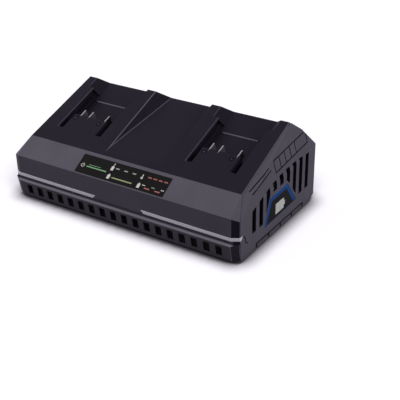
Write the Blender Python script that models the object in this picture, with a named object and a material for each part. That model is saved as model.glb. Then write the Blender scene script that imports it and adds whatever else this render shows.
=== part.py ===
"""Twin-bay charger for slide-on tool batteries, built as separate named pieces."""
import math

import bmesh
import bpy
from mathutils import Matrix, Vector

MM = 0.001

# Shared fits
WALL = 2.5 * MM
GAP = 0.3 * MM
REACH = 400.0 * MM
EMBED = 1.0 * MM

# Overall body and side profile
BODY_WIDTH = 279.6 * MM
BODY_DEPTH = 163.0 * MM
FOOT_HEIGHT = 2.2 * MM
RIM_SETBACK = 3.2 * MM
SILL_SETBACK = 2.3 * MM
SILL_HEIGHT = 7.5 * MM
LIP_HEIGHT = 20.1 * MM
FACE_SETBACK = 1.5 * MM
FACE_BOTTOM = 22.0 * MM
FACE_TOP = 49.2 * MM
DECK_SETBACK = 24.5 * MM
DECK_HEIGHT = 64.0 * MM
DECK_LENGTH = 104.0 * MM
DECK_ANGLE = math.radians(20.66)
BACK_BEVEL_LENGTH = 23.8 * MM
BACK_BEVEL_ANGLE = math.radians(36.3)
BACK_WALL_TOP = 64.5 * MM
BACK_LEAN = 2.0 * MM
BACK_FOOT_HEIGHT = 14.0 * MM
BACK_HEEL_SETBACK = 3.0 * MM
BACK_HEEL_HEIGHT = 7.0 * MM
BACK_RIM_SETBACK = 11.5 * MM
SEAM_HEIGHT = 34.0 * MM

# Ends of the body
DECK_END_FRONT_INSET = 8.7 * MM
DECK_END_BACK_INSET = 11.7 * MM
CORNER_WIDTH = 7.5 * MM
CORNER_DEPTH = 4.6 * MM
SHOULDER_HEIGHT = 46.5 * MM
BACK_CORNER = 3.5 * MM

# Battery bays, measured on the deck
BAY_OFFSET = 82.7 * MM
BAY_FRONT = 21.8 * MM
TONGUE_HALF = 21.8 * MM
TONGUE_BACK = 44.1 * MM
RAIL_HALF = 28.8 * MM
RAIL_LIP = 3.0 * MM
RAIL_UNDERCUT = 4.2 * MM
RAIL_SLOT = 7.0 * MM
POCKET_BACK = 81.8 * MM
POCKET_DEPTH = 14.0 * MM
RAMP_STEP = 12.8 * MM
RAMP_SLOPE = -0.072
ENTRY_FRONT = 87.8 * MM
ENTRY_HALF = 35.6 * MM
ENTRY_FLANK = 0.925
TROUGH_FRONT = 10.0 * MM
TROUGH_SLOPE = 0.133
TROUGH_HALF = 33.9 * MM
TROUGH_SPREAD = 0.0235
TROUGH_FLANK = 0.858

# Contacts
BLADE_PLACES = {"positive": -14.6 * MM, "sense": -3.7 * MM, "negative": 18.0 * MM}
BLADE_THICKNESS = 1.2 * MM
BLADE_TOP = 1.0 * MM
BLADE_BOTTOM = 10.0 * MM
BLADE_REACH = 9.4 * MM
BLADE_TAIL = 13.3 * MM
BLADE_SHOULDER = 3.0 * MM
BLOCK_DEPTH = 18.0 * MM

# Front: light bars, label and vents
BAR_BOTTOM = 25.6 * MM
BAR_HEIGHT = 3.4 * MM
BAR_THICKNESS = 3.0 * MM
BAR_PROUD = 0.3 * MM
BAR_INNER = 28.6 * MM
BAR_WRAP = 4.7 * MM
SHADOW_GROOVE = 3.1 * MM
SHADOW_DEPTH = 1.2 * MM
VENT_COUNT = 18
VENT_PITCH = 14.0 * MM
VENT_WIDTH = 7.2 * MM
VENT_HEIGHT = 10.8 * MM
VENT_BOTTOM = 6.3 * MM
LABEL_HALF = 55.0 * MM
LABEL_TOP = 4.0 * MM
LABEL_HEIGHT = 22.2 * MM
LABEL_RECESS = 0.9 * MM
LABEL_THICKNESS = 0.5 * MM

# End covers: slots, badge and engraved lines
SLOT_COUNT = 9
SLOT_FRONT_MARGIN = 31.7 * MM
SLOT_BACK_MARGIN = 22.5 * MM
SLOT_WIDTH = 7.2 * MM
SLOT_LOW = 22.4 * MM
SLOT_CROWN = 62.8 * MM
SLOT_CROWN_SETBACK = 119.5 * MM
SLOT_CROWN_RADIUS = 258.0 * MM
SLOT_OVER_BADGE = 4.6 * MM
BADGE_FRONT_MARGINS = (52.0 * MM, 62.7 * MM)
BADGE_FRONT_HEIGHTS = (17.4 * MM, 44.1 * MM)
BADGE_BACK_MARGINS = (45.1 * MM, 64.5 * MM)
BADGE_BACK_HEIGHTS = (19.3 * MM, 45.5 * MM)
BADGE_THICKNESS = 0.9 * MM
LINE_WIDTH = 1.3 * MM
LINE_DEPTH = 0.8 * MM
LADDER_SETBACK = 79.5 * MM
LADDER_LOW = 65.6 * MM
LADDER_HEIGHT = 10.6 * MM
LADDER_PITCH = 10.6 * MM
LADDER_STEPS = 5
LADDER_BACK_MARGIN = 17.6 * MM
LADDER_RISE = 0.11
STRIPE_SETBACKS = ((33.2 * MM, 68.2 * MM), (34.7 * MM, 71.0 * MM))
STRIPE_HEIGHTS = ((63.8 * MM, 73.4 * MM), (60.9 * MM, 69.9 * MM))
SKIRT_FRONT_MARGIN = 35.5 * MM
SKIRT_BACK_MARGIN = 28.5 * MM
SKIRT_HEIGHT = 6.4 * MM
SKIRT_LINE = 1.8 * MM
SKIRT_TICK = 3.0 * MM
SKIRT_STEPS = 4
HOOK_SETBACKS = (12.5 * MM, 15.4 * MM, 16.4 * MM, 19.9 * MM)
HOOK_HEIGHTS = (28.3 * MM, 23.8 * MM, 19.0 * MM, 17.2 * MM)

# Case screws and feet
POST_X = 41.0 * MM
POST_FRONT_MARGIN = 43.5 * MM
POST_BACK_MARGIN = 53.5 * MM
POST_RADIUS = 5.5 * MM
POST_TOP = 15.7 * MM
CASE_SHANK = 3.5 * MM
CASE_HEAD = 7.4 * MM
CASE_HEAD_HEIGHT = 2.5 * MM
CASE_HEAD_INSET = 0.7 * MM
CASE_LENGTH = 22.0 * MM
FOOT_RADIUS = 7.0 * MM
FOOT_END_MARGIN = 24.8 * MM
FOOT_FRONT_MARGIN = 21.5 * MM

# Main board and what stands on it
BOARD_HALF = 105.0 * MM
BOARD_FRONT = -50.0 * MM
BOARD_BACK = 46.0 * MM
BOARD_BOTTOM = 11.0 * MM
BOARD_THICKNESS = 1.6 * MM
STANDOFF_X = 98.0 * MM
STANDOFF_FRONT = -42.0 * MM
STANDOFF_BACK = 38.0 * MM
STANDOFF_RADIUS = 3.5 * MM
BOARD_SHANK = 2.6 * MM
BOARD_HEAD = 5.6 * MM
BOARD_HEAD_HEIGHT = 2.1 * MM
BOARD_SCREW_DROP = 4.5 * MM
BULK_PLACE = (-72.0 * MM, 26.0 * MM)
BULK_RADIUS = 11.0 * MM
BULK_HEIGHT = 32.0 * MM
OUTPUT_X = 56.0 * MM
OUTPUT_FRONT = -12.0 * MM
OUTPUT_BACK = 10.0 * MM
OUTPUT_RADIUS = 6.25 * MM
OUTPUT_HEIGHT = 25.0 * MM
CHOKE_PLACE = (-92.0 * MM, 5.0 * MM)
CHOKE_SIZE = (20.0 * MM, 16.0 * MM, 18.0 * MM)
FUSE_PLACE = (-72.0 * MM, -35.0 * MM)
FUSE_RADIUS = 2.6 * MM
FUSE_LENGTH = 20.0 * MM
SINK_FRONT = -20.0 * MM
SINK_BACK = 12.0 * MM
SINK_HEIGHT = 32.0 * MM
SINK_PLATE = 2.4 * MM
SINK_FIN = 5.6 * MM
SINK_FIN_THICKNESS = 1.4 * MM
SINK_FINS = 5
PRIMARY_SINK_X = -54.0 * MM
SECONDARY_SINK_X = 30.0 * MM
PACKAGE_WIDTH = 10.0 * MM
PACKAGE_HEIGHT = 15.0 * MM
PACKAGE_THICKNESS = 4.5 * MM
PACKAGE_LEGS = 3.4 * MM
CORE_X = -8.0 * MM
CORE_Y = -2.0 * MM
CORE_WIDTH = 44.0 * MM
CORE_DEPTH = 20.0 * MM
CORE_HEIGHT = 36.0 * MM
CORE_LEG = 7.0 * MM
CORE_MIDDLE = 12.0 * MM
WINDING_MARGIN = 8.5 * MM
LEAD_RADIUS = 2.0 * MM
LEAD_DROP = 8.0 * MM

# Indicator board behind the label
INDICATOR_HALF = 52.0 * MM
INDICATOR_TOP = 7.0 * MM
INDICATOR_HEIGHT = 16.0 * MM
INDICATOR_DEPTH = 6.5 * MM
INDICATOR_POST = 47.0 * MM
INDICATOR_POST_RADIUS = 3.0 * MM
LED_PLACES = (-36.0 * MM, -12.0 * MM, 12.0 * MM, 36.0 * MM)
LED_RADIUS = 1.5 * MM

# Mains inlet
INLET_X = -89.0 * MM
INLET_WIDTH = 26.0 * MM
INLET_HEIGHT = 16.0 * MM
INLET_BOTTOM = 14.5 * MM
INLET_LENGTH = 20.0 * MM
INLET_SETBACK = 1.5 * MM
SOCKET_WIDTH = 17.0 * MM
SOCKET_HEIGHT = 9.0 * MM
SOCKET_DEPTH = 14.0 * MM
PIN_SPREAD = 4.3 * MM
PIN_RADIUS = 1.2 * MM
PIN_LENGTH = 9.0 * MM
PIN_ROOT = 3.5 * MM

# Cooling fan
FAN_X = 117.0 * MM
FAN_SIZE = 40.0 * MM
FAN_THICKNESS = 10.0 * MM
FAN_BORE = 18.5 * MM
FAN_HUB = 9.0 * MM
FAN_BACK = 2.0 * MM
FAN_STRUT = 2.4 * MM
FAN_SHAFT = 1.5 * MM
FAN_BLADES = 7
FAN_BLADE_THICKNESS = 1.0 * MM
FAN_BLADE_CHORD = 8.5 * MM
FAN_BLADE_PITCH = math.radians(38.0)
FAN_TIP_GAP = 0.7 * MM
FAN_RIB = 2.4 * MM
FAN_RIB_HEIGHT = 9.0 * MM

# Places that follow from the sizes above
FRONT = -BODY_DEPTH / 2
BACK = BODY_DEPTH / 2
END = BODY_WIDTH / 2
FLOOR = FOOT_HEIGHT + GAP
FLOOR_TOP = FLOOR + WALL
DECK_FRONT = FRONT + DECK_SETBACK
FACE = FRONT + FACE_SETBACK
BAYS = {"left": -BAY_OFFSET, "right": BAY_OFFSET}
SIDES = {"left": -1.0, "right": 1.0}
BOARD_TOP = BOARD_BOTTOM + BOARD_THICKNESS
STAND = BOARD_TOP + GAP
TOP = DECK_HEIGHT + DECK_LENGTH
SLOT_FIRST = FRONT + SLOT_FRONT_MARGIN
SLOT_PITCH = (BACK - SLOT_BACK_MARGIN - SLOT_FIRST) / (SLOT_COUNT - 1)
SLOT_CROWN_PLACE = FRONT + SLOT_CROWN_SETBACK
LADDER_FRONT = FRONT + LADDER_SETBACK
LADDER_BACK = BACK - LADDER_BACK_MARGIN
POST_FRONT = FRONT + POST_FRONT_MARGIN
POST_BACK = BACK - POST_BACK_MARGIN
FOOT_X = END - FOOT_END_MARGIN
FOOT_Y = BACK - FOOT_FRONT_MARGIN
FAN_CENTRE = Vector((FAN_X, 0.0, FLOOR_TOP + GAP + FAN_SIZE / 2))


# Meshes from Blender's own shapes

def mesh_from(shape):
    mesh = bpy.data.meshes.new("shape")
    shape.to_mesh(mesh)
    shape.free()
    return mesh


def placed(mesh, matrix):
    mesh.transform(matrix)
    if matrix.determinant() < 0:
        mesh.flip_normals()
    return mesh


def box(low, high):
    low = Vector(low)
    high = Vector(high)
    shape = bmesh.new()
    scale = Matrix.Diagonal((*(high - low), 1.0))
    bmesh.ops.create_cube(shape, size=1.0, matrix=Matrix.Translation((low + high) / 2) @ scale)
    return mesh_from(shape)


def cylinder(start, end, radius, segments=24):
    start = Vector(start)
    end = Vector(end)
    axis = end - start
    place = Matrix.Translation((start + end) / 2) @ axis.to_track_quat("Z", "Y").to_matrix().to_4x4()
    shape = bmesh.new()
    bmesh.ops.create_cone(
        shape, cap_ends=True, segments=segments, radius1=radius, radius2=radius,
        depth=axis.length, matrix=place)
    return mesh_from(shape)


def mesh_of_curve(curve):
    item = bpy.data.objects.new("curve", curve)
    bpy.context.scene.collection.objects.link(item)
    seen = item.evaluated_get(bpy.context.evaluated_depsgraph_get())
    mesh = bpy.data.meshes.new_from_object(seen)
    bpy.data.objects.remove(item, do_unlink=True)
    shape = bmesh.new()
    shape.from_mesh(mesh)
    bmesh.ops.remove_doubles(shape, verts=shape.verts[:], dist=0.002 * MM)
    bmesh.ops.recalc_face_normals(shape, faces=shape.faces[:])
    return mesh_from(shape)


def extruded(outline, low, high):
    """Flat outline in X and Y, filled and raised from low to high along Z."""
    curve = bpy.data.curves.new("outline", "CURVE")
    curve.dimensions = "2D"
    curve.fill_mode = "BOTH"
    curve.extrude = (high - low) / 2
    spline = curve.splines.new("POLY")
    spline.points.add(len(outline) - 1)
    for point, (x, y) in zip(spline.points, outline):
        point.co = (x, y, 0.0, 1.0)
    spline.use_cyclic_u = True
    return placed(mesh_of_curve(curve), Matrix.Translation((0.0, 0.0, (low + high) / 2)))


def tube(points, radius):
    curve = bpy.data.curves.new("tube", "CURVE")
    curve.dimensions = "3D"
    curve.bevel_depth = radius
    curve.bevel_resolution = 2
    curve.use_fill_caps = True
    spline = curve.splines.new("POLY")
    spline.points.add(len(points) - 1)
    for point, place in zip(spline.points, points):
        point.co = (*place, 1.0)
    return mesh_of_curve(curve)


def joined(meshes):
    """Separate bodies gathered in one mesh, as a cutter that is used once."""
    shape = bmesh.new()
    for mesh in meshes:
        shape.from_mesh(mesh)
    return mesh_from(shape)


def combine(base, tool, operation):
    first = bpy.data.objects.new("base", base)
    second = bpy.data.objects.new("tool", tool)
    for item in (first, second):
        bpy.context.scene.collection.objects.link(item)
    step = first.modifiers.new("combine", "BOOLEAN")
    step.operation = operation
    step.solver = "EXACT"
    step.object = second
    seen = first.evaluated_get(bpy.context.evaluated_depsgraph_get())
    mesh = bpy.data.meshes.new_from_object(seen)
    for item in (first, second):
        bpy.data.objects.remove(item, do_unlink=True)
    shape = bmesh.new()
    shape.from_mesh(mesh)
    bmesh.ops.remove_doubles(shape, verts=shape.verts[:], dist=0.002 * MM)
    bmesh.ops.dissolve_degenerate(shape, edges=shape.edges[:], dist=0.002 * MM)
    return mesh_from(shape)


def cut(base, *tools):
    for tool in tools:
        base = combine(base, tool, "DIFFERENCE")
    return base


def keep(base, tool):
    return combine(base, tool, "INTERSECT")


def weld(base, *tools):
    for tool in tools:
        base = combine(base, tool, "UNION")
    return base


def trimmed(mesh, point, normal):
    """Solid without what lies beyond the plane, closed again."""
    shape = bmesh.new()
    shape.from_mesh(mesh)
    every = shape.verts[:] + shape.edges[:] + shape.faces[:]
    found = bmesh.ops.bisect_plane(
        shape, geom=every, dist=0.001 * MM, plane_co=point, plane_no=normal, clear_outer=True)
    rim = [edge for edge in found["geom_cut"] if isinstance(edge, bmesh.types.BMEdge)]
    rim = [edge for edge in rim if edge.is_boundary]
    if rim:
        bmesh.ops.edgeloop_fill(shape, edges=rim)
    bmesh.ops.remove_doubles(shape, verts=shape.verts[:], dist=0.002 * MM)
    bmesh.ops.dissolve_degenerate(shape, edges=shape.edges[:], dist=0.002 * MM)
    bmesh.ops.recalc_face_normals(shape, faces=shape.faces[:])
    return mesh_from(shape)


def mirrored(mesh):
    return placed(mesh.copy(), Matrix.Diagonal((-1.0, 1.0, 1.0, 1.0)))


# Frames and outlines

def frame(x_axis, y_axis, z_axis, origin=(0.0, 0.0, 0.0)):
    turn = Matrix((x_axis, y_axis, z_axis)).transposed().to_4x4()
    return Matrix.Translation(origin) @ turn


def across():
    """Outline in Y and Z, raised along X."""
    return frame((0.0, 1.0, 0.0), (0.0, 0.0, 1.0), (1.0, 0.0, 0.0))


def along():
    """Outline in X and Z, raised along Y."""
    return frame((1.0, 0.0, 0.0), (0.0, 0.0, 1.0), (0.0, 1.0, 0.0))


def deck_frame(x=0.0):
    """X, distance up the deck, height over the deck."""
    up = (0.0, math.cos(DECK_ANGLE), math.sin(DECK_ANGLE))
    out = (0.0, -math.sin(DECK_ANGLE), math.cos(DECK_ANGLE))
    return frame((1.0, 0.0, 0.0), up, out, (x, DECK_FRONT, DECK_HEIGHT))


def slope_frame():
    """X, distance down the front slope, height over the slope."""
    down = Vector((0.0, FACE - DECK_FRONT, FACE_TOP - DECK_HEIGHT)).normalized()
    out = Vector((0.0, down.z, -down.y))
    return frame((1.0, 0.0, 0.0), down, out, (0.0, DECK_FRONT, DECK_HEIGHT))


def inset_outline(points, distance):
    """Closed clockwise outline with every side moved inward."""
    lines = []
    for start, end in zip(points, points[1:] + points[:1]):
        way = (Vector(end) - Vector(start)).normalized()
        lines.append((Vector(start) + distance * Vector((way.y, -way.x)), way))
    corners = []
    for (p, a), (q, b) in zip(lines[-1:] + lines[:-1], lines):
        step = (q - p).cross(b) / a.cross(b)
        corners.append(tuple(p + step * a))
    return corners


def side_profile():
    ridge_y = DECK_FRONT + DECK_LENGTH * math.cos(DECK_ANGLE)
    ridge_z = DECK_HEIGHT + DECK_LENGTH * math.sin(DECK_ANGLE)
    bevel_y = ridge_y + BACK_BEVEL_LENGTH * math.cos(BACK_BEVEL_ANGLE)
    bevel_z = ridge_z - BACK_BEVEL_LENGTH * math.sin(BACK_BEVEL_ANGLE)
    return [
        (FRONT + RIM_SETBACK, FLOOR),
        (FRONT + SILL_SETBACK, SILL_HEIGHT),
        (FRONT, LIP_HEIGHT),
        (FACE, FACE_BOTTOM),
        (FACE, FACE_TOP),
        (DECK_FRONT, DECK_HEIGHT),
        (ridge_y, ridge_z),
        (bevel_y, bevel_z),
        (BACK - BACK_LEAN, BACK_WALL_TOP),
        (BACK, BACK_FOOT_HEIGHT),
        (BACK - BACK_HEEL_SETBACK, BACK_HEEL_HEIGHT),
        (BACK - BACK_RIM_SETBACK, FLOOR),
    ]


def end_points():
    """Corners of the right end's facets."""
    ridge_y, ridge_z = side_profile()[6]
    return {
        "deck_front": Vector((END - DECK_END_FRONT_INSET, DECK_FRONT, DECK_HEIGHT)),
        "deck_back": Vector((END - DECK_END_BACK_INSET, ridge_y, ridge_z)),
        "slope_foot": Vector((END - CORNER_WIDTH, FACE, FACE_TOP)),
        "shoulder_front": Vector((END, FACE + CORNER_DEPTH, SHOULDER_HEIGHT)),
        "shoulder_back": Vector((END, BACK - BACK_LEAN, BACK_WALL_TOP)),
    }


def plane_through(a, b, c):
    normal = (b - a).cross(c - a).normalized()
    if normal.x < 0:
        normal.negate()
    return a, normal


def end_planes():
    """Facets of the right end, each a point and its outward normal."""
    p = end_points()
    corner = Vector((CORNER_DEPTH, -CORNER_WIDTH, 0.0)).normalized()
    back_corner = Vector((1.0, 1.0, 0.0)).normalized()
    lip = Vector((END - CORNER_WIDTH, FRONT, LIP_HEIGHT))
    sill = Vector((END - CORNER_WIDTH, FRONT + SILL_SETBACK, SILL_HEIGHT))
    lip_side = Vector((END, FRONT + CORNER_DEPTH, LIP_HEIGHT))
    return {
        "upper": plane_through(p["deck_front"], p["deck_back"], p["shoulder_front"]),
        "lean": plane_through(p["deck_back"], p["shoulder_front"], p["shoulder_back"]),
        "side": (p["shoulder_front"], Vector((1.0, 0.0, 0.0))),
        "corner": (p["slope_foot"], corner),
        "front": plane_through(p["slope_foot"], p["shoulder_front"], p["deck_front"]),
        "back_corner": (Vector((END, BACK - BACK_CORNER, 0.0)), back_corner),
        "lip_corner": plane_through(lip, sill, lip_side),
    }


def faceted(mesh, names, inset):
    """Solid cut by the named facets on both ends, each moved inward."""
    flip = Vector((-1.0, 1.0, 1.0))
    planes = end_planes()
    for name in names:
        point, normal = planes[name]
        point = point - inset * normal
        mesh = trimmed(mesh, point, normal)
        mesh = trimmed(mesh, point * flip, normal * flip)
    return mesh


def body(inset):
    """Whole outer form with every face moved inward: the lip's corners stand out below the face."""
    outline = inset_outline(side_profile(), inset)
    form = placed(extruded(outline, -END - WALL, END + WALL), across())
    high = faceted(form, ("upper", "lean", "side", "corner", "front", "back_corner"), inset)
    low = faceted(form, ("side", "back_corner", "lip_corner"), inset)
    high = trimmed(high, Vector((0.0, 0.0, FACE_BOTTOM - EMBED)), Vector((0.0, 0.0, -1.0)))
    low = trimmed(low, Vector((0.0, 0.0, FACE_BOTTOM)), Vector((0.0, 0.0, 1.0)))
    return weld(high, low)


def shell():
    return cut(body(0.0), body(WALL))


def end_block(margin, bottom):
    """Region of the right end cover in plan, from the bottom up."""
    p = end_points()
    front = p["deck_front"]
    ahead = front + 2.0 * (p["shoulder_front"] - front)
    behind = front + 1.6 * (p["deck_back"] - front)
    outline = [
        (front.x, front.y),
        (behind.x, behind.y),
        (END + REACH / 8, behind.y),
        (END + REACH / 8, ahead.y),
        (ahead.x, ahead.y),
    ]
    return extruded(inset_outline(outline, -margin), bottom, REACH)


def both(mesh):
    return joined([mesh, mirrored(mesh)])


# Cutters of the deck

def trough(margin):
    """Trough between the bays, or its backing when a margin is given."""
    half = TROUGH_HALF + margin
    deep = DECK_LENGTH / 4
    outline = [
        (-half - TROUGH_FLANK * deep, deep),
        (half + TROUGH_FLANK * deep, deep),
        (half - TROUGH_FLANK * deep, -deep),
        (-half + TROUGH_FLANK * deep, -deep),
    ]
    form = placed(extruded(outline, -WALL, 2.0 * DECK_LENGTH), along())
    for vert in form.vertices:
        vert.co.x += math.copysign(TROUGH_SPREAD * (vert.co.y - TROUGH_FRONT), vert.co.x)
    floor = Vector((0.0, -TROUGH_SLOPE, -1.0)).normalized()
    start = Vector((0.0, TROUGH_FRONT, 0.0)) + margin * floor
    return placed(trimmed(form, start, floor), deck_frame())


def ramp(outline, start, end):
    """Way in at the back of a bay, over its sloping floor."""
    form = placed(extruded(outline, start, end), along())
    floor = Vector((0.0, -RAMP_SLOPE, -1.0)).normalized()
    return trimmed(form, Vector((0.0, POCKET_BACK, -RAMP_STEP)), floor)


def bay_cutters():
    over = DECK_LENGTH / 4
    rail = RAIL_HALF + RAIL_UNDERCUT
    entry = [
        (-ENTRY_HALF - ENTRY_FLANK * over, over),
        (ENTRY_HALF + ENTRY_FLANK * over, over),
        (ENTRY_HALF - ENTRY_FLANK * over, -over),
        (-ENTRY_HALF + ENTRY_FLANK * over, -over),
    ]
    way = [(-RAIL_HALF, over), (RAIL_HALF, over), (RAIL_HALF, -over), (-RAIL_HALF, -over)]
    slot_low = -RAIL_LIP - RAIL_SLOT
    groove = box((TONGUE_HALF, BAY_FRONT, -POCKET_DEPTH), (RAIL_HALF, TONGUE_BACK + EMBED, over))
    undercut = box((RAIL_HALF - EMBED, BAY_FRONT, slot_low), (rail, ENTRY_FRONT + EMBED, -RAIL_LIP))
    return [
        box((-RAIL_HALF, TONGUE_BACK, -POCKET_DEPTH), (RAIL_HALF, POCKET_BACK, over)),
        both(groove),
        both(undercut),
        ramp(way, POCKET_BACK - EMBED, ENTRY_FRONT + EMBED),
        ramp(entry, ENTRY_FRONT, 2.0 * DECK_LENGTH),
    ]


def contact_cutters():
    """Space for the terminal block under the tongue, and the blade slots behind it."""
    half = TONGUE_HALF - WALL / 2
    deep = DECK_LENGTH / 2
    cutters = [box((-half, BAY_FRONT + WALL, -deep), (half, TONGUE_BACK - WALL, -WALL))]
    slot = BLADE_THICKNESS / 2 + GAP
    slots = []
    for x in BLADE_PLACES.values():
        low = (x - slot, TONGUE_BACK - WALL - EMBED / 2, -BLADE_BOTTOM - GAP)
        slots.append(box(low, (x + slot, TONGUE_BACK + EMBED, EMBED)))
    return cutters + [joined(slots)]


def well():
    half = RAIL_HALF + RAIL_UNDERCUT + WALL
    low = (-half, BAY_FRONT - WALL, -POCKET_DEPTH - WALL)
    return box(low, (half, 2.0 * DECK_LENGTH, DECK_LENGTH / 2))


def posts():
    return [(x, y) for x in (-POST_X, POST_X) for y in (POST_FRONT, POST_BACK)]


# Shells

def make_top_cover():
    bosses = joined([cylinder((x, y, POST_TOP + GAP), (x, y, TOP), POST_RADIUS) for x, y in posts()])
    void = cut(body(WALL), trough(WALL), bosses)
    for x in BAYS.values():
        void = cut(void, placed(well(), deck_frame(x)))
    cover = cut(body(0.0), void, trough(0.0))
    for x in BAYS.values():
        for cutter in bay_cutters() + contact_cutters():
            cover = cut(cover, placed(cutter, deck_frame(x)))
    above = box((-REACH, DECK_FRONT + GAP / 2, SEAM_HEIGHT + GAP / 2), (REACH, REACH, REACH))
    cover = keep(cover, weld(above, bosses))
    cover = cut(cover, both(end_block(GAP / 2, 0.0)))
    bore = CASE_SHANK / 2 + GAP
    end = FLOOR + CASE_HEAD_INSET + CASE_HEAD_HEIGHT + CASE_LENGTH + WALL
    return cut(cover, joined([cylinder((x, y, 0.0), (x, y, end), bore) for x, y in posts()]))


def bar_band(margin):
    """Band of the right light bar, longer at its top edge in front view."""
    low = BAR_BOTTOM - margin
    high = BAR_BOTTOM + BAR_HEIGHT + margin
    inner = BAR_INNER - margin
    outer = END + WALL
    outline = [(inner, high), (outer, high), (outer, low), (inner + high - low, low)]
    return placed(extruded(outline, -REACH, DECK_FRONT - EMBED), along())


def bar_block(margin):
    """Band that ends in a slanted tip on the end cover."""
    tip = Vector((0.0, FACE + CORNER_DEPTH + BAR_WRAP + margin, BAR_BOTTOM + BAR_HEIGHT + margin))
    return trimmed(bar_band(margin), tip, Vector((0.0, 1.0, -1.0)).normalized())


def make_front_fascia():
    fascia = keep(shell(), box((-REACH, -REACH, BAR_BOTTOM), (REACH, DECK_FRONT - GAP / 2, REACH)))
    fascia = cut(fascia, both(end_block(GAP / 2, 0.0)), both(bar_band(GAP)))
    recess = box((-LABEL_HALF, LABEL_TOP, -LABEL_RECESS), (LABEL_HALF, LABEL_TOP + LABEL_HEIGHT, EMBED))
    fascia = cut(fascia, placed(recess, slope_frame()))
    middle = INDICATOR_TOP + INDICATOR_HEIGHT / 2
    pegs = []
    holes = []
    for x in (-INDICATOR_POST, INDICATOR_POST):
        end = (x, middle, GAP - INDICATOR_DEPTH)
        pegs.append(cylinder((x, middle, -WALL + EMBED), end, INDICATOR_POST_RADIUS, 16))
    for x in LED_PLACES:
        holes.append(cylinder((x, middle, -2.0 * WALL), (x, middle, WALL), LED_RADIUS + GAP, 16))
    fascia = weld(fascia, placed(joined(pegs), slope_frame()))
    return cut(fascia, placed(joined(holes), slope_frame()))


def make_right_light_bar():
    bar = cut(body(-BAR_PROUD), body(BAR_THICKNESS - BAR_PROUD))
    return keep(bar, bar_block(0.0))


def badge_outline():
    front = [(FRONT + margin, z) for margin, z in zip(BADGE_FRONT_MARGINS, BADGE_FRONT_HEIGHTS)]
    back = [(BACK - margin, z) for margin, z in zip(BADGE_BACK_MARGINS, BADGE_BACK_HEIGHTS)]
    return front + back[::-1]


def badge_height(y):
    """Upper edge of the badge at one place, or nothing beside it."""
    corners = badge_outline()
    for (y0, z0), (y1, z1) in zip(corners, corners[1:]):
        if y0 <= y <= y1:
            return z0 + (z1 - z0) * (y - y0) / (y1 - y0)
    return 0.0


def slot_foot(y):
    """Lower end of a slot at one place, clear of the badge."""
    return max(SLOT_LOW, badge_height(y) + SLOT_OVER_BADGE)


def slot_outline(index):
    """One upright slot: its top follows a shallow arc and its foot follows the badge."""
    middle = SLOT_FIRST + index * SLOT_PITCH
    front = middle - SLOT_WIDTH / 2
    back = middle + SLOT_WIDTH / 2
    tops = [SLOT_CROWN - (y - SLOT_CROWN_PLACE) ** 2 / (2.0 * SLOT_CROWN_RADIUS) for y in (front, back)]
    return [(front, slot_foot(front)), (front, tops[0]), (back, tops[1]), (back, slot_foot(back))]


def on_plane(plane, y, z):
    """Point of an end facet that lies at one place in the side view."""
    point, normal = plane
    x = point.x - (normal.y * (y - point.y) + normal.z * (z - point.z)) / normal.x
    return Vector((x, y, z))


def line_cutter(plane, start, end):
    """Thin bar along a facet, half of it below the surface."""
    a = on_plane(plane, *start)
    b = on_plane(plane, *end)
    way = (b - a).normalized()
    normal = plane[1]
    half = (b - a).length / 2 + LINE_WIDTH / 2
    bar = box((-half, -LINE_WIDTH / 2, -LINE_DEPTH), (half, LINE_WIDTH / 2, LINE_DEPTH))
    return placed(bar, frame(way, normal.cross(way), normal, (a + b) / 2))


def stripe_cutters(start, end):
    """Engraved stripe that may cross the edge between the two upper facets."""
    upper = end_planes()["upper"]
    lean = end_planes()["lean"]
    first = on_plane(upper, *start).x - on_plane(lean, *start).x
    last = on_plane(upper, *end).x - on_plane(lean, *end).x
    if first * last >= 0.0:
        return [line_cutter(lean if first > 0.0 else upper, start, end)]
    share = first / (first - last)
    edge = tuple(a + share * (b - a) for a, b in zip(start, end))
    return [line_cutter(upper, start, edge), line_cutter(lean, edge, end)]


def facet_slab(plane, outline, depth):
    """Outline of the side view laid on a facet and raised to both sides of it."""
    origin, normal = plane
    level = Vector((0.0, 1.0, 0.0)) - normal.y * normal
    level.normalize()
    rise = normal.cross(level)
    flat = []
    for y, z in outline:
        step = on_plane(plane, y, z) - origin
        flat.append((step.dot(level), step.dot(rise)))
    return placed(extruded(flat, -depth, depth), frame(level, rise, normal, origin))


def ladder_plate(front, back, margin):
    """One plate of the ladder in the side view, larger by the margin."""
    low = [LADDER_LOW + LADDER_RISE * (y - LADDER_FRONT) - margin for y in (front, back)]
    high = [z + LADDER_HEIGHT + 2.0 * margin for z in low]
    return [(front, low[0]), (front, high[0]), (back, high[1]), (back, low[1])]


def ladder_cutter():
    """Engraved ladder: a shallow field with its plates left standing."""
    lean = end_planes()["lean"]
    fronts = [LADDER_FRONT + step * LADDER_PITCH for step in range(LADDER_STEPS)]
    backs = fronts[1:] + [LADDER_BACK]
    outline = ladder_plate(LADDER_FRONT - LINE_WIDTH, LADDER_BACK, LINE_WIDTH)
    field = facet_slab(lean, outline, LINE_DEPTH)
    plates = []
    for front, back in zip(fronts, backs):
        outline = ladder_plate(front, back - LINE_WIDTH, 0.0)
        plates.append(facet_slab(lean, outline, 2.0 * LINE_DEPTH))
    return cut(field, joined(plates))


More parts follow.
